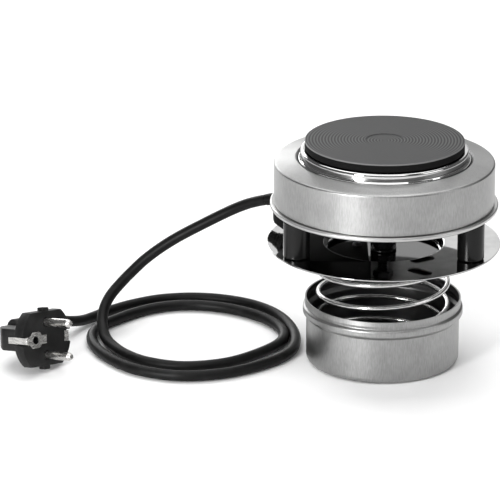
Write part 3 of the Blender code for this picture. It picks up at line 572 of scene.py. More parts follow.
# %% The coil spring's tree
def coil_tree():
    """A helix whose end turns close up, swept with a round wire."""
    graph, given = start_tree("coil_spring", {
        "Turns": "Float", "Closed Turns": "Float", "Pitch": "Float", "Closed Pitch": "Float",
        "Mean Radius": "Float", "Wire Radius": "Float", "Start Angle": "Float", "Start Height": "Float",
        "Points": "Int", "Material": "Material",
    })
    line = graph.add("GeometryNodeMeshLine", None, {"Count": given["Points"]})
    index = graph.add("GeometryNodeInputIndex")
    turn = index * given["Turns"] / (given["Points"] - 1)
    active = given["Turns"] - given["Closed Turns"] * 2.0
    low = turn.math("MINIMUM", given["Closed Turns"])
    middle = (turn - given["Closed Turns"]).math("MAXIMUM", 0.0).math("MINIMUM", active)
    high = (turn - given["Closed Turns"] - active).math("MAXIMUM", 0.0)
    height = given["Start Height"] + (low + high) * given["Closed Pitch"] + middle * given["Pitch"]
    angle = given["Start Angle"] + turn * (2.0 * math.pi)
    place = graph.add("ShaderNodeCombineXYZ", None, {
        "X": angle.math("COSINE") * given["Mean Radius"],
        "Y": angle.math("SINE") * given["Mean Radius"],
        "Z": height,
    })
    bent = graph.add("GeometryNodeSetPosition", None, {"Geometry": line, "Position": place})
    curve = graph.add("GeometryNodeMeshToCurve", None, {0: bent})
    section = graph.add("GeometryNodeCurvePrimitiveCircle", None,
                        {"Resolution": 16, "Radius": given["Wire Radius"]})
    wire = graph.add("GeometryNodeCurveToMesh", None,
                     {"Curve": curve, "Profile Curve": section, "Fill Caps": True})
    return end_tree(graph, wire, given["Material"])


# %% The tube's tree
def tube_tree():
    """A round tube along a line of points."""
    graph, given = start_tree("tube_on_path", {
        "Radius": "Float", "Sides": "Int", "Material": "Material",
    })
    curve = graph.add("GeometryNodeMeshToCurve", None, {0: given["Geometry"]})
    section = graph.add("GeometryNodeCurvePrimitiveCircle", None,
                        {"Resolution": given["Sides"], "Radius": given["Radius"]})
    tube = graph.add("GeometryNodeCurveToMesh", None,
                     {"Curve": curve, "Profile Curve": section, "Fill Caps": True})
    return end_tree(graph, tube, given["Material"])


# %% The screws' tree
def screws_tree():
    """One screw on each point, upside down where the point says so, each turned by its own angle."""
    graph, given = start_tree("screws_on_points", {"Screw": "Object", "Material": "Material"})
    shape = graph.add("GeometryNodeObjectInfo", None, {"Object": given["Screw"]}, "Geometry")
    flip = graph.add("GeometryNodeInputNamedAttribute", {"data_type": "FLOAT"}, {"Name": "flip"})
    index = graph.add("GeometryNodeInputIndex")
    turn = graph.add("ShaderNodeCombineXYZ", None, {"X": flip * math.pi, "Z": index * 1.17})
    rotation = graph.add("FunctionNodeEulerToRotation", None, {0: turn})
    points = graph.add("GeometryNodeMeshToPoints", None, {"Mesh": given["Geometry"]})
    placed = graph.add("GeometryNodeInstanceOnPoints", None,
                       {"Points": points, "Instance": shape, "Rotation": rotation})
    return end_tree(graph, placed, given["Material"])


# %% The ribs' tree
def ribs_tree():
    """Rings in a row along Z that get smaller towards the end, as on a bend relief."""
    graph, given = start_tree("ribs_in_a_row", {
        "Count": "Int", "Start": "Float", "Pitch": "Float", "First Radius": "Float",
        "Last Radius": "Float", "Rib Radius": "Float", "Material": "Material",
    })
    place = graph.add("ShaderNodeCombineXYZ", None, {"Z": given["Start"]})
    step = graph.add("ShaderNodeCombineXYZ", None, {"Z": given["Pitch"]})
    line = graph.add("GeometryNodeMeshLine", None,
                     {"Count": given["Count"], "Start Location": place, "Offset": step})
    share = graph.add("GeometryNodeInputIndex") / (given["Count"] - 1)
    size = given["First Radius"] + share * (given["Last Radius"] - given["First Radius"])
    hoop = graph.add("GeometryNodeCurvePrimitiveCircle", None, {"Resolution": 40, "Radius": 1.0})
    points = graph.add("GeometryNodeMeshToPoints", None, {"Mesh": line})
    hoops = graph.add("GeometryNodeInstanceOnPoints", None,
                      {"Points": points, "Instance": hoop, "Scale": size})
    curves = graph.add("GeometryNodeRealizeInstances", None, {0: hoops})
    section = graph.add("GeometryNodeCurvePrimitiveCircle", None,
                        {"Resolution": 10, "Radius": given["Rib Radius"]})
    rings = graph.add("GeometryNodeCurveToMesh", None, {"Curve": curves, "Profile Curve": section})
    return end_tree(graph, rings, given["Material"])


COIL_TREE = coil_tree()
TUBE_TREE = tube_tree()
SCREWS_TREE = screws_tree()
RIBS_TREE = ribs_tree()
print("trees:", [tree.name for tree in bpy.data.node_groups])

# %% [markdown]
# ## The cord
# The cord shows from end to end, so its length is what shows: it leaves the box under the head,
# comes down in one slack curve, lies in two loops and rises to the plug. A curve through listed
# points keeps every bend wide, as a stiff mains lead has it, and the tube follows that curve.

# %% The cord's route and its curve
CORD_RADIUS = 3.15 * MM
CORD_ROUTE = (
    (-0.0667, 0.0417, 0.0814), (-0.0722, 0.0450, 0.0792), (-0.0795, 0.0489, 0.0757),
    (-0.0892, 0.0531, 0.0700), (-0.1035, 0.0568, 0.0613), (-0.1180, 0.0583, 0.0528),
    (-0.1290, 0.0583, 0.0456), (-0.1385, 0.0573, 0.0384), (-0.1465, 0.0550, 0.0312),
    (-0.1525, 0.0518, 0.0257), (-0.1577, 0.0475, 0.0206), (-0.1610, 0.0420, 0.0160),
    (-0.1625, 0.0355, 0.0113), (-0.1622, 0.0283, 0.0074), (-0.1602, 0.0195, 0.0045),
    (-0.1560, 0.0095, 0.0033), (-0.1475, -0.0050, 0.0032), (-0.1345, -0.0170, 0.0032),
    (-0.1140, -0.0237, 0.0032), (-0.0900, -0.0183, 0.0032), (-0.0710, -0.0030, 0.0032),
    (-0.0590, 0.0135, 0.0032), (-0.0566, 0.0295, 0.0032), (-0.0618, 0.0450, 0.0032),
    (-0.0745, 0.0605, 0.0032), (-0.0930, 0.0718, 0.0032), (-0.1120, 0.0757, 0.0032),
    (-0.1290, 0.0726, 0.0032), (-0.1430, 0.0640, 0.0032), (-0.1560, 0.0510, 0.0032),
    (-0.1652, 0.0385, 0.0032), (-0.1684, 0.0220, 0.0032), (-0.1640, 0.0030, 0.0032),
    (-0.1530, -0.0162, 0.0032), (-0.1380, -0.0302, 0.0032), (-0.1150, -0.0382, 0.0032),
    (-0.0890, -0.0335, 0.0032), (-0.0665, -0.0186, 0.0032), (-0.0535, -0.0015, 0.0032),
    (-0.0498, 0.0175, 0.0032), (-0.0520, 0.0385, 0.0032), (-0.0600, 0.0595, 0.0032),
    (-0.0745, 0.0762, 0.0032), (-0.0935, 0.0858, 0.0032), (-0.1125, 0.0885, 0.0032),
    (-0.1310, 0.0852, 0.0032), (-0.1470, 0.0765, 0.0032), (-0.1580, 0.0675, 0.0032),
    (-0.1650, 0.0600, 0.0033), (-0.1708, 0.0520, 0.0039), (-0.1753, 0.0443, 0.0054),
    (-0.1796, 0.0369, 0.0078), (-0.1840, 0.0297, 0.0106), (-0.1887, 0.0230, 0.0131),
    (-0.1933, 0.0176, 0.01455),
)


def smooth_path(route, steps=6):
    """Points of one smooth curve through every point of a route."""
    points = [Vector(place) for place in route]
    points = [2 * points[0] - points[1], *points, 2 * points[-1] - points[-2]]
    path = []
    for before, start, end, after in zip(points, points[1:], points[2:], points[3:]):
        for index in range(steps):
            t = index / steps
            path.append(0.5 * (2 * start + (end - before) * t
                               + (2 * before - 5 * start + 4 * end - after) * t ** 2
                               + (3 * start - before - 3 * end + after) * t ** 3))
    return path + [points[-2]]


def line_piece(name, path):
    mesh = bpy.data.meshes.new(name)
    mesh.from_pydata([tuple(place) for place in path], [(i, i + 1) for i in range(len(path) - 1)], [])
    return put(name, mesh)


def run_length(path):
    return sum((end - start).length for start, end in zip(path, path[1:]))


# %% Make the cord
cord_path = smooth_path(CORD_ROUTE)
cord_length = run_length(cord_path)
cord = run_tree(line_piece("cord_sheath", cord_path), TUBE_TREE,
                {"Radius": CORD_RADIUS, "Sides": 24, "Material": SHEATH}, 60.0)
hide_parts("cord")
print("cord:", round(cord_length, 3), "m")

# %% [markdown]
# ## The plug
# The plug is an angled earthed one: a round face with flats above and below and a small lug on
# each, two pins, a hole for the socket's earth pin, and a spring strip on each side. It is made in
# its own axes, X towards the earth hole, Y along the pins and Z from pin to pin, and then laid
# where the cord leaves it, leaning as a dropped plug lies.

# %% The plug's axes and sizes
PLUG_AXES = (
    Matrix.Translation((-0.19196, -0.02113, 0.01939))
    @ Matrix.Rotation(math.radians(-129.2), 4, "Z")
    @ Matrix.Rotation(math.radians(10.2), 4, "X")
    @ Matrix.Rotation(math.radians(-9.9), 4, "Y")
)
FACE_AXES = PLUG_AXES @ Matrix.Rotation(math.pi / 2, 4, "X")
QUARTER_Y = Matrix.Rotation(math.pi / 2, 4, "Y")
FACE_RADIUS = 20.0
FACE_FLAT = 15.6
FACE_LUG = 17.7
FACE_DEPTH = 7.0
PIN_SPREAD = 9.5
PIN_RADIUS = 2.4
PIN_LENGTH = 19.0
EARTH_HOLE = 10.0
SLEEVE_PLACE = (-26.0, 4.8)
SLEEVE_RADIUS = 4.9


def along_x(x, y, z):
    """Axes in the plug for a part that is turned about the plug's X."""
    return PLUG_AXES @ Matrix.Translation(Vector((x, y, z)) * MM) @ QUARTER_Y


def into_place(made, axes):
    made.data.transform(axes)
    return made


# %% The plug's moulded body
def face_outline():
    """A circle with a flat above and below."""
    reach = math.asin(FACE_FLAT / FACE_RADIUS)
    side = [(FACE_RADIUS * math.cos(reach * step / 14), FACE_RADIUS * math.sin(reach * step / 14))
            for step in range(-14, 15)]
    return side + [(-x, -z) for x, z in side]


def plug_body():
    face = slab("plug_face", face_outline(), 0.0, FACE_DEPTH, 0.5, FACE_AXES, 2)
    lug = [(2.6, -FACE_LUG, 0.6), (2.6, FACE_LUG, 0.6), (-2.6, FACE_LUG, 0.6), (-2.6, -FACE_LUG, 0.6)]
    body = cut(face, slab("plug_lugs", lug, 0.3, 4.5, 0.3, FACE_AXES, 2), "UNION")
    grip = [(16.3, -6.0), (16.3, -20.0, 4.0), (9.0, -28.4, 2.6), (-6.6, -28.4, 1.5), (-7.4, -20.8, 1.0),
            (-12.5, -19.5, 3.0), (-16.0, -6.0)]
    handle = slab("plug_handle", list(reversed(grip)), -6.4, 6.4, 1.2, PLUG_AXES)
    barrel = [(0.0, 1.0), (SLEEVE_RADIUS, 1.0, 1.2), (SLEEVE_RADIUS, -8.0, 0.4), (0.0, -8.0)]
    sleeve_part = turned("plug_sleeve", barrel, steps=40)
    into_place(sleeve_part, along_x(0.0, *SLEEVE_PLACE))
    body = cut(body, handle, "UNION")
    body = cut(body, sleeve_part, "UNION")
    for x, z, radius in ((0.0, PIN_SPREAD, 2.75), (0.0, -PIN_SPREAD, 2.75), (EARTH_HOLE, 0.0, 2.3)):
        drill = turned("drill", [(0.0, 1.0), (radius, 1.0), (radius, -5.6), (0.0, -5.6)], steps=32)
        into_place(drill, PLUG_AXES @ Matrix.Translation(Vector((x, 0.0, z)) * MM)
                   @ Matrix.Rotation(-math.pi / 2, 4, "X"))
        body = cut(body, drill)
    for x, high in ((20.5, 2.6), (-20.5, 3.5)):
        notch = slab("notch", [(x - 4, -8.5), (x + 4, -8.5), (x + 4, 0.5), (x - 4, 0.5)], -high, high,
                     0.0, PLUG_AXES)
        body = cut(body, notch)
    return body


plug = finish_piece(plug_body(), PLUG, "base", "black_rubber", "plug_body")
plug.name = "plug_moulded_body"
print("plug body:", len(plug.data.polygons), "faces")


# %% The pins, the earth strips and the boot
def plug_pin(name, height, node):
    tip = [(0.0, PIN_LENGTH), (1.5, PIN_LENGTH - 0.1, 0.6), (PIN_RADIUS, PIN_LENGTH - 2.0, 1.2),
           (PIN_RADIUS, -5.2), (0.0, -5.2)]
    pin = turned(name, tip, steps=40, sharp=60.0)
    into_place(pin, PLUG_AXES @ Matrix.Translation((0.0, 0.0, height * MM))
               @ Matrix.Rotation(-math.pi / 2, 4, "X"))
    return finish_piece(pin, NICKEL, "base", "nickel_plate", node)


def earth_strip_near():
    """The strip that runs along the handle, over the face's edge and round the earth hole."""
    pad = [(1.0, -2.6), (5.0, -2.6), (6.6, -4.6, 2.0), (12.6, -4.6, 2.0), (14.4, -2.4), (17.4, -1.9),
           (17.4, 1.9), (14.4, 2.4), (12.6, 4.6, 2.0), (6.6, 4.6, 2.0), (5.0, 2.6), (1.0, 2.6)]
    strip = slab("near_pad", pad, -0.9, -0.3, 0.12, FACE_AXES, 1)
    side = slab("near_side", [(16.8, -13.7), (17.4, -13.7), (17.4, 0.9, 0.5), (16.8, 0.9)], -1.9, 1.9,
                0.1, PLUG_AXES, 1)
    strip = cut(strip, side, "UNION")
    drill = turned("drill", [(0.0, 2.0), (2.3, 2.0), (2.3, -2.0), (0.0, -2.0)], steps=32)
    into_place(drill, PLUG_AXES @ Matrix.Translation((EARTH_HOLE * MM, 0.0, 0.0))
               @ Matrix.Rotation(-math.pi / 2, 4, "X"))
    return cut(strip, drill)


def earth_strip_far():
    strip = slab("far_pad", [(-17.4, 0.3), (-14.0, 0.3), (-14.0, 0.9), (-17.4, 0.9, 0.5)], -3.0, 3.0,
                 0.1, PLUG_AXES, 1)
    fold = slab("far_side", [(-17.4, -6.1), (-16.8, -6.1), (-16.8, 0.7), (-17.4, 0.7)], -2.98, 2.98,
                0.1, PLUG_AXES, 1)
    return cut(strip, fold, "UNION")


def plug_boot():
    profile = [(0.0, 28.3), (4.0, 28.3, 0.5), (4.6, 8.3, 0.4), (0.0, 8.3)]
    boot = turned("plug_bend_relief", profile, steps=40)
    into_place(boot, PLUG_AXES @ Matrix.Translation(Vector((0.0, *SLEEVE_PLACE)) * MM)
               @ Matrix.Rotation(-math.pi / 2, 4, "Y"))
    return boot


upper_pin = plug_pin("pin_upper", PIN_SPREAD, "plug_pin_upper")
lower_pin = plug_pin("pin_lower", -PIN_SPREAD, "plug_pin_lower")
near_strip = finish_piece(earth_strip_near(), NICKEL, "base", "nickel_plate", "plug_earth_near")
near_strip.name = "earth_strip_near"
far_strip = finish_piece(earth_strip_far(), NICKEL, "base", "nickel_plate", "plug_earth_far")
far_strip.name = "earth_strip_far"
boot = finish_piece(plug_boot(), SHEATH, "base", "black_rubber", "plug_boot")
print("plug: two pins, two earth strips and a boot")

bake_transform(cord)

# %% [markdown]
# ## The can and its spring
# The can is drawn from one disc of sheet: a flat floor, a straight wall, and a bead under the rim
# that stiffens it. The spring's end turns close up so that it stands square, and its open turns
# rise evenly, which is a rule that a geometry tree follows exactly.

# %% The base can
CAN_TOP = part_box("base_can")[1].z / MM
CAN_RADIUS = 43.9


def base_can():
    rim = [(44.6, CAN_TOP), (44.85, CAN_TOP - 2.6, 0.6), (44.5, CAN_TOP - 4.2, 0.6),
           (45.9, CAN_TOP - 5.4, 1.4), (45.9, CAN_TOP - 8.8, 1.4), (CAN_RADIUS, CAN_TOP - 10.6, 0.9)]
    wall = [(CAN_RADIUS, 0.0, 3.0), (30.0, 0.0, 1.0), (0.0, 0.0)]
    return turned("can_shell", rim + wall, wall=0.8)


finish_piece(base_can(), SATIN, "base", "satin_steel", "base_can")

# %% The spring
SPRING_LOW, SPRING_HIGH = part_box("spring")
WIRE_RADIUS = 1.4 * MM
CLOSED_TURNS = 0.9
CLOSED_PITCH = 2.9 * MM
OPEN_PITCH = 13.6 * MM
RISE = SPRING_HIGH.z - SPRING_LOW.z - 2 * WIRE_RADIUS
OPEN_TURNS = (RISE - 2 * CLOSED_TURNS * CLOSED_PITCH) / OPEN_PITCH
COIL_VALUES = {
    "Turns": 2 * CLOSED_TURNS + OPEN_TURNS, "Closed Turns": CLOSED_TURNS, "Pitch": OPEN_PITCH,
    "Closed Pitch": CLOSED_PITCH, "Mean Radius": 37.05 * MM, "Wire Radius": WIRE_RADIUS,
    "Start Angle": math.radians(5.8), "Start Height": SPRING_LOW.z + WIRE_RADIUS, "Points": 420,
    "Material": WIRE,
}
spring = line_piece("coil_spring", [Vector(), Vector((0, 0, MM))])
run_tree(spring, COIL_TREE, COIL_VALUES, 60.0)
finish_piece(spring, WIRE, "base", "spring_wire", "spring")
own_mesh(spring)
print("spring:", round(COIL_VALUES["Turns"], 2), "turns,", len(spring.data.polygons), "faces")

# %% [markdown]
# ## The disc, the posts and the middle fixings
# The disc keeps heat off the can. It is polished like a mirror, so the dark box above it shows in
# it, and a shallow well in the middle takes the stud's washer and nut.

# %% The polished disc
SHIELD_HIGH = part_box("heat_shield")[1].z / MM
SHIELD_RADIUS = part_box("heat_shield")[1].x / MM
WELL_DEPTH = 5.2


def heat_shield():
    floor = SHIELD_HIGH - WELL_DEPTH
    profile = [(3.6, floor), (33.0, floor, 1.6), (34.0, SHIELD_HIGH, 1.3),
               (SHIELD_RADIUS, SHIELD_HIGH, 0.35), (SHIELD_RADIUS, SHIELD_HIGH - 0.5)]
    return turned("polished_disc", profile, wall=0.9, sharp=28.0)


finish_piece(heat_shield(), POLISHED, "head", "polished_steel", "heat_shield")


# %% The posts
def post(index):
    low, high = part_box(f"spacer_post_{index}")
    middle = (low + high) / 2
    radius = (high.x - low.x) / 2 / MM
    top, bottom = high.z / MM, low.z / MM
    profile = [(0.0, top - 8.0), (2.1, top - 8.0), (2.1, top), (radius, top, 0.7), (radius, bottom, 0.7),
               (2.1, bottom), (2.1, bottom + 8.0), (0.0, bottom + 8.0)]
    made = turned(f"post_{index}", profile, steps=56)
    into_place(made, Matrix.Translation((middle.x, middle.y, 0.0)))
    return finish_piece(made, BLACK, "head", "black_phenolic", f"spacer_post_{index}")


for number in (1, 2, 3):
    post(number)
print("disc and posts made")


# %% Nuts, washer and stud
NUT_CORNER = 5.77
NUT_BORE = 3.2


def hex_nut(node):
    """A hexagon with its corners turned off, as a real nut has them."""
    low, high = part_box(node)
    middle, top, bottom = (low + high) / 2, high.z / MM, low.z / MM
    turns = [math.radians(60 * step) for step in range(6)]
    points = [(NUT_CORNER * math.cos(turn), NUT_CORNER * math.sin(turn)) for turn in turns]
    nut = slab("nut_" + node, points, bottom, top)
    cone = turned("cone", [(0.0, top + 0.1), (4.9, top + 0.1), (5.9, top - 0.75), (5.9, bottom + 0.75),
                           (4.9, bottom - 0.1), (0.0, bottom - 0.1)], steps=48)
    nut = cut(nut, cone, "INTERSECT")
    hole = [(0.0, top + 1), (NUT_BORE, top + 1), (NUT_BORE, bottom - 1), (0.0, bottom - 1)]
    nut = cut(nut, turned("bore", hole, steps=32))
    into_place(nut, Matrix.Translation((middle.x, middle.y, 0.0)))
    return finish_piece(nut, OXIDE, "head", "zinc_plate", node)


for node in ("shield_nut", "shield_locknut", "pan_nut", "bracket_nut"):
    hex_nut(node)

STUD_LOW, STUD_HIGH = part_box("centre_stud")
THREAD_PITCH = 1.0


def centre_stud():
    """A threaded stud, its thread shown as the rings that a side view has."""
    top, bottom = STUD_HIGH.z / MM, STUD_LOW.z / MM
    profile = [(0.0, top), (2.3, top), (2.9, top - 0.6)]
    height = top - 0.6
    while height - THREAD_PITCH > bottom + 0.7:
        profile += [(2.45, height - THREAD_PITCH / 2), (2.9, height - THREAD_PITCH)]
        height -= THREAD_PITCH
    profile += [(2.3, bottom), (0.0, bottom)]
    return turned("threaded_stud", profile, steps=32, sharp=30.0)


finish_piece(centre_stud(), OXIDE, "head", "zinc_plate", "centre_stud")
washer_low, washer_high = (corner.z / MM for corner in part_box("shield_washer"))
washer = turned("dark_washer", [(NUT_BORE, washer_high), (7.4, washer_high, 0.3),
                                (7.4, washer_low, 0.3), (NUT_BORE, washer_low)], closed=True, steps=64)
finish_piece(washer, BLACK, "head", "black_phenolic", "shield_washer")
print("stud, washer and four nuts made")

# %% [markdown]
# ## The head
# The housing is one deep drawing: a straight wall, a round shoulder, a gently sloping top and a
# raised seat in the middle. The plate rests in it on a bright trim ring with a rolled edge, and
# the pan closes it from below with a turned-up rim, which shows as the band under the wall.

# %% The housing
HOUSING_LOW, HOUSING_HIGH = (corner.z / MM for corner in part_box("housing"))
HOUSING_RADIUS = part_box("housing")[1].x / MM


def housing():
    top = HOUSING_HIGH
    profile = [(43.6, top - 1.4), (48.9, top - 1.4, 0.7), (50.3, top, 0.9), (60.6, top - 2.1, 1.6),
               (HOUSING_RADIUS, top - 2.6, 1.8), (HOUSING_RADIUS, HOUSING_LOW)]
    return turned("drawn_housing", profile, wall=0.8, steps=168)


finish_piece(housing(), SATIN, "head", "satin_steel", "housing")


# %% The trim ring and the plate
def trim_ring():
    profile = [(43.9, 126.6), (47.8, 126.6, 1.5), (47.8, 122.0, 0.5), (48.4, 121.2, 0.4), (48.7, 121.1)]
    return turned("trim_ring", profile, wall=0.6, steps=168)


def plate():
    top = PLATE_TOP / MM
    face = [(0.0, top - 0.4), (11.0, top - 0.4), (11.2, top), (PLATE_RADIUS, top, 0.55)]
    skirt = [(PLATE_RADIUS, 127.0, 0.35), (42.9, 127.0), (42.9, 114.5, 0.4), (40.4, 114.5, 0.4)]
    hollow = [(40.4, 124.4, 1.0), (9.0, 124.4, 1.5)]
    boss = [(9.0, 115.0, 0.4), (3.2, 115.0), (3.2, 126.0), (0.0, 126.0)]
    profile = face + skirt + hollow + boss
    return turned("cast_plate", profile, steps=168)


finish_piece(trim_ring(), POLISHED, "head", "polished_steel", "overflow_ring")
finish_piece(plate(), IRON, "head", "cast_iron", "hot_plate")
print("housing, ring and plate made")

# %% The pan and its vent slots
PAN_LOW, PAN_HIGH = (corner.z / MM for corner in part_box("bottom_pan"))
PAN_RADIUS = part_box("bottom_pan")[1].x / MM
VENTS = ((23.75, 29.0, 34.0), (21.4, 8.2, -40.0), (21.4, -8.2, 40.0), (23.75, -29.0, -34.0))


def vent_cutter(x, y, degrees):
    half, radius = 3.8, 4.0
    corners = [(half + radius, -radius, radius), (half + radius, radius, radius),
               (-half - radius, radius, radius), (-half - radius, -radius, radius)]
    place = Matrix.Translation((x * MM, y * MM, 0.0)) @ Matrix.Rotation(math.radians(degrees), 4, "Z")
    return slab("vent", corners, PAN_LOW - 1.0, PAN_LOW + 1.6, 0.0, place)


def bottom_pan():
    profile = [(60.8, PAN_HIGH), (PAN_RADIUS, PAN_HIGH, 0.9), (PAN_RADIUS, PAN_LOW, 0.9), (3.6, PAN_LOW)]
    made = turned("vented_pan", profile, wall=0.8, steps=168)
    for vent in VENTS:
        cut(made, vent_cutter(*vent))
    passage = turned("passage", [(0.0, PAN_LOW + 1.6), (6.5, PAN_LOW + 1.6), (6.5, PAN_LOW - 1.0),
                                 (0.0, PAN_LOW - 1.0)], steps=32)
    into_place(passage, Matrix.Translation(outlet(21.0, 0.0, 0.0)))
    return cut(made, passage)


OUTLET_TURN = math.radians(148.0)


def outlet(q, w, z):
    """A point from the outlet's own axes, in millimetres: outwards, across and up."""
    along = Vector((math.cos(OUTLET_TURN), math.sin(OUTLET_TURN), 0.0))
    across = Vector((-math.sin(OUTLET_TURN), math.cos(OUTLET_TURN), 0.0))
    return (along * q + across * w + Vector((0.0, 0.0, z))) * MM


finish_piece(bottom_pan(), SHADED_UNDERSIDE, "head", "satin_steel", "bottom_pan")
print("pan made with", len(VENTS), "vents")

# %% [markdown]
# ## The terminal box and where the cord leaves it
# A black moulded box fills the rear left quarter under the pan and covers the terminals. It is
# open towards the pan, follows the pan's round edge outside, and its lower edge slopes there. The
# cord leaves it through a tapered bend relief with ribs, which spread the bend over its length.

# %% The terminal box
BOX_LOW, BOX_HIGH = (corner.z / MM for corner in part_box("terminal_cover"))
BOX_RIGHT = -7.4
BOX_FRONT = -10.0
BOX_RADIUS = 63.1
BOX_WALL = 2.0
SLOPE_RISE = 5.2
SLOPE_WIDTH = 8.0
OUTLET_AXES = Matrix.Rotation(OUTLET_TURN, 4, "Z")


def box_outline(inset, rounding):
    """A quarter of a round between two straight walls."""
    radius, right, front = BOX_RADIUS - inset, BOX_RIGHT - inset, BOX_FRONT + inset
    start = math.acos(right / radius)
    sweep = math.pi - math.asin(front / radius) - start
    turns = [start + sweep * step / 30 for step in range(31)]
    bow = [(radius * math.cos(turn), radius * math.sin(turn)) for turn in turns]
    bow[0] = (*bow[0], rounding)
    bow[-1] = (*bow[-1], rounding)
    return [(right, front, rounding), *bow]


def slope(inset):
    """The ring that a sloped lower edge takes off the box's round wall."""
    low, high = BOX_LOW - 1.0 + inset, BOX_LOW + SLOPE_RISE + inset
    outer, beyond = BOX_RADIUS - inset, BOX_RADIUS + 5
    ring = [(outer, high), (beyond, high), (beyond, low), (outer - SLOPE_WIDTH, low)]
    return turned("slope", ring, closed=True, steps=96)


def terminal_box():
    shell = cut(slab("terminal_box", box_outline(0.0, 1.5), BOX_LOW, BOX_HIGH, 0.6), slope(0.0))
    room = slab("room", box_outline(BOX_WALL, 1.0), BOX_LOW + BOX_WALL, BOX_HIGH + 2.0)
    return cut(shell, cut(room, slope(BOX_WALL)))


finish_piece(terminal_box(), MATT, "head", "black_phenolic", "terminal_cover")

# %% The bend relief
GLAND_AXES = (
    Matrix.Translation(outlet(61.5, 0.0, 86.6)) @ OUTLET_AXES
    @ Matrix.Rotation(math.radians(90.0 + 17.0), 4, "Y")
)


def bend_relief():
    nose = [(0.0, 17.5), (3.4, 17.5, 0.2), (3.6, 11.0, 0.2), (5.2, 6.0, 0.3)]
    flange = [(6.2, 6.0, 0.3), (6.2, 4.0, 0.3), (4.4, 4.0), (4.4, -3.0), (0.0, -3.0)]
    relief = turned("cord_bend_relief", nose + flange, steps=40)
    ribs = run_tree(line_piece("ribs", [Vector(), Vector((0, 0, MM))]), RIBS_TREE, {
        "Count": 3, "Start": 7.0 * MM, "Pitch": 1.8 * MM, "First Radius": 4.8 * MM,
        "Last Radius": 3.8 * MM, "Rib Radius": 0.45 * MM, "Material": SHEATH,
    })
    relief = cut(relief, ribs, "UNION")
    return into_place(relief, GLAND_AXES)


finish_piece(bend_relief(), SHEATH, "head", "black_rubber", "cord_gland")
print("terminal box and bend relief made")


# %% [markdown]
# ## Screws
# All the screws are pan heads with a cross recess. One is modelled at each of two sizes, and the
# screws' tree sets a copy on each point, turned by a different angle, as a hand leaves them.

# %% One screw with a cross recess
def screw_shape(name, head, height, shank, length):
    """A screw standing on its head's seat, with its shank below."""
    profile = [(0.0, height), (head * 0.7, height, 0.3), (head, height * 0.4, 0.5), (head, 0.0),
               (shank, 0.0), (shank, -length, 0.3), (0.0, -length)]
    made = turned(name, profile, steps=32)
    for turn in (0.0, math.pi / 2):
        reach, half = head * 0.6, head * 0.13
        arm = [(-reach, -half), (reach, -half), (reach, half), (-reach, half)]
        cut(made, slab("arm", arm, height * 0.35, height + 1.0, 0.0, Matrix.Rotation(turn, 4, "Z")))
    return made


def screws(name, shape, nodes):
    """Copies of one screw, set on the seats of the frame's screws."""
    seats, flips = [], []
    for node, down in nodes.items():
        low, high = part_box(node)
        middle = (low + high) / 2
        seat = low.z + HEAD_HEIGHT[name] if down else high.z - HEAD_HEIGHT[name]
        seats.append((middle.x, middle.y, seat))
        flips.append(1.0 if down else 0.0)
    mesh = bpy.data.meshes.new(name)
    mesh.from_pydata(seats, [], [])
    mesh.attributes.new("flip", "FLOAT", "POINT").data.foreach_set("value", flips)
    made = run_tree(put(name, mesh), SCREWS_TREE, {"Screw": shape, "Material": ZINC})
    drop(shape)
    return finish_piece(made, ZINC, "head", "zinc_plate", *nodes)


HEAD_HEIGHT = {"post_screws": 2.2 * MM, "box_screws": 1.8 * MM}
POST_SCREWS = {f"lower_post_screw_{number}": True for number in (1, 2, 3)}
POST_SCREWS |= {f"upper_post_screw_{number}": False for number in (1, 2, 3)}
screws("post_screws", screw_shape("post_screw", 3.4, 2.2, 1.8, 8.0), POST_SCREWS)
BOX_SCREWS = {"cover_screw_1": True, "cover_screw_2": True}
screws("box_screws", screw_shape("box_screw", 2.8, 1.8, 1.4, 15.8), BOX_SCREWS)
print("eight screws set")

# %% [markdown]
# ## Parts that keep their shape
# The clips, the bracket and everything inside the head already have the right shape. They only
# need a finish, so each keeps its mesh and gets one of the materials above.

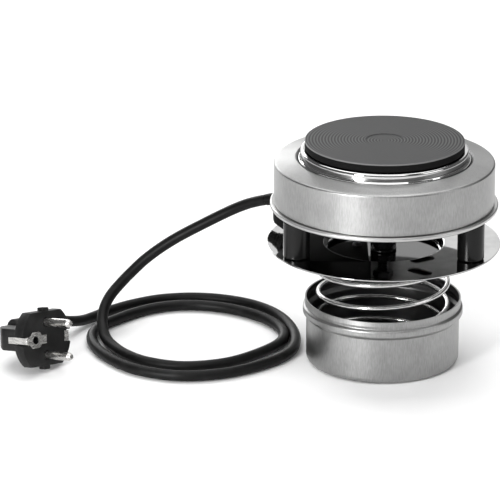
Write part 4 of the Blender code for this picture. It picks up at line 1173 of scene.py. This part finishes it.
# %% Finish the remaining parts
KEPT = {
    ZINC: ("lower_clip_1", "lower_clip_2", "upper_clip_1", "upper_clip_2", "lower_clip_rivet_1",
           "lower_clip_rivet_2", "upper_clip_rivet_1", "upper_clip_rivet_2", "clamp_bracket",
           "coil_cover", "earth_screw"),
    CERAMIC: ("coil_insulation", "terminal_insulator", "terminal_block"),
    NICKEL: ("terminal_pin_1", "terminal_pin_2"),
    BLACK: ("thermal_cutout",),
    BROWN: ("core_live", "wire_live", "wire_link"),
    BLUE: ("core_neutral", "wire_neutral"),
    EARTH: ("core_earth",),
    HEATED: ("heating_coil",),
}
for material, nodes in KEPT.items():
    for node in nodes:
        for holder in frame["nodes"][node].material_slots:
            holder.material = material
print(sum(len(nodes) for nodes in KEPT.values()), "parts keep their shape")

# %% [markdown]
# ## Floor and light
# The floor is pale and plain. Bright sheet metal shows the room more than itself, so six soft
# panels light it: a narrow one at the front left that draws the upright highlight, two broad ones
# above, a weak one at the right, and two behind that the top and the disc mirror.

# %% The floor
def floor():
    material, graph = start_material("pale_floor", (0.90, 0.90, 0.90))
    speck = graph.noise(30.0, 4.0)
    fill_shader(material, graph, {
        "Base Color": graph.blend(speck, (0.89, 0.89, 0.89), (0.91, 0.91, 0.91)),
        "Roughness": 0.85,
        "Specular IOR Level": 0.1,
    })
    bpy.ops.mesh.primitive_plane_add(size=14.0, location=(0.0, 3.0, -0.0004))
    made = bpy.context.object
    made.name = "floor"
    made.data.materials.append(material)


floor()


# %% The lights
def panel(name, place, target, width, height, power):
    """A soft rectangular light that faces a point."""
    light = bpy.data.lights.new(name, "AREA")
    light.shape = "RECTANGLE"
    light.size = width
    light.size_y = height
    light.energy = power
    made = put(name, light)
    made.location = place
    made.rotation_euler = (Vector(target) - Vector(place)).to_track_quat("-Z", "Y").to_euler()
    return made


HEART = (0.0, 0.0, 0.08)
panel("front_left_panel", (-0.72, -1.00, 0.30), HEART, 0.24, 0.55, 15.0)
panel("top_panel", (-0.1, 0.6, 1.9), HEART, 2.2, 1.6, 34.0)
panel("front_top_panel", (-0.1, -1.1, 1.6), HEART, 1.8, 1.0, 15.0)
panel("right_panel", (1.3, -0.5, 0.8), HEART, 0.8, 0.8, 5.0)
panel("rear_left_panel", (-0.86, 2.00, 0.70), HEART, 1.4, 0.8, 17.0)
panel("rear_panel", (0.35, 2.20, 0.85), HEART, 1.0, 0.9, 2.8)

world = bpy.data.worlds.new("room")
bpy.context.scene.world = world
world.use_nodes = True
backdrop = world.node_tree.nodes["Background"]
backdrop.inputs["Color"].default_value = (1.0, 1.0, 1.0, 1.0)
backdrop.inputs["Strength"].default_value = 0.16
print("lights:", [light.name for light in bpy.data.lights])
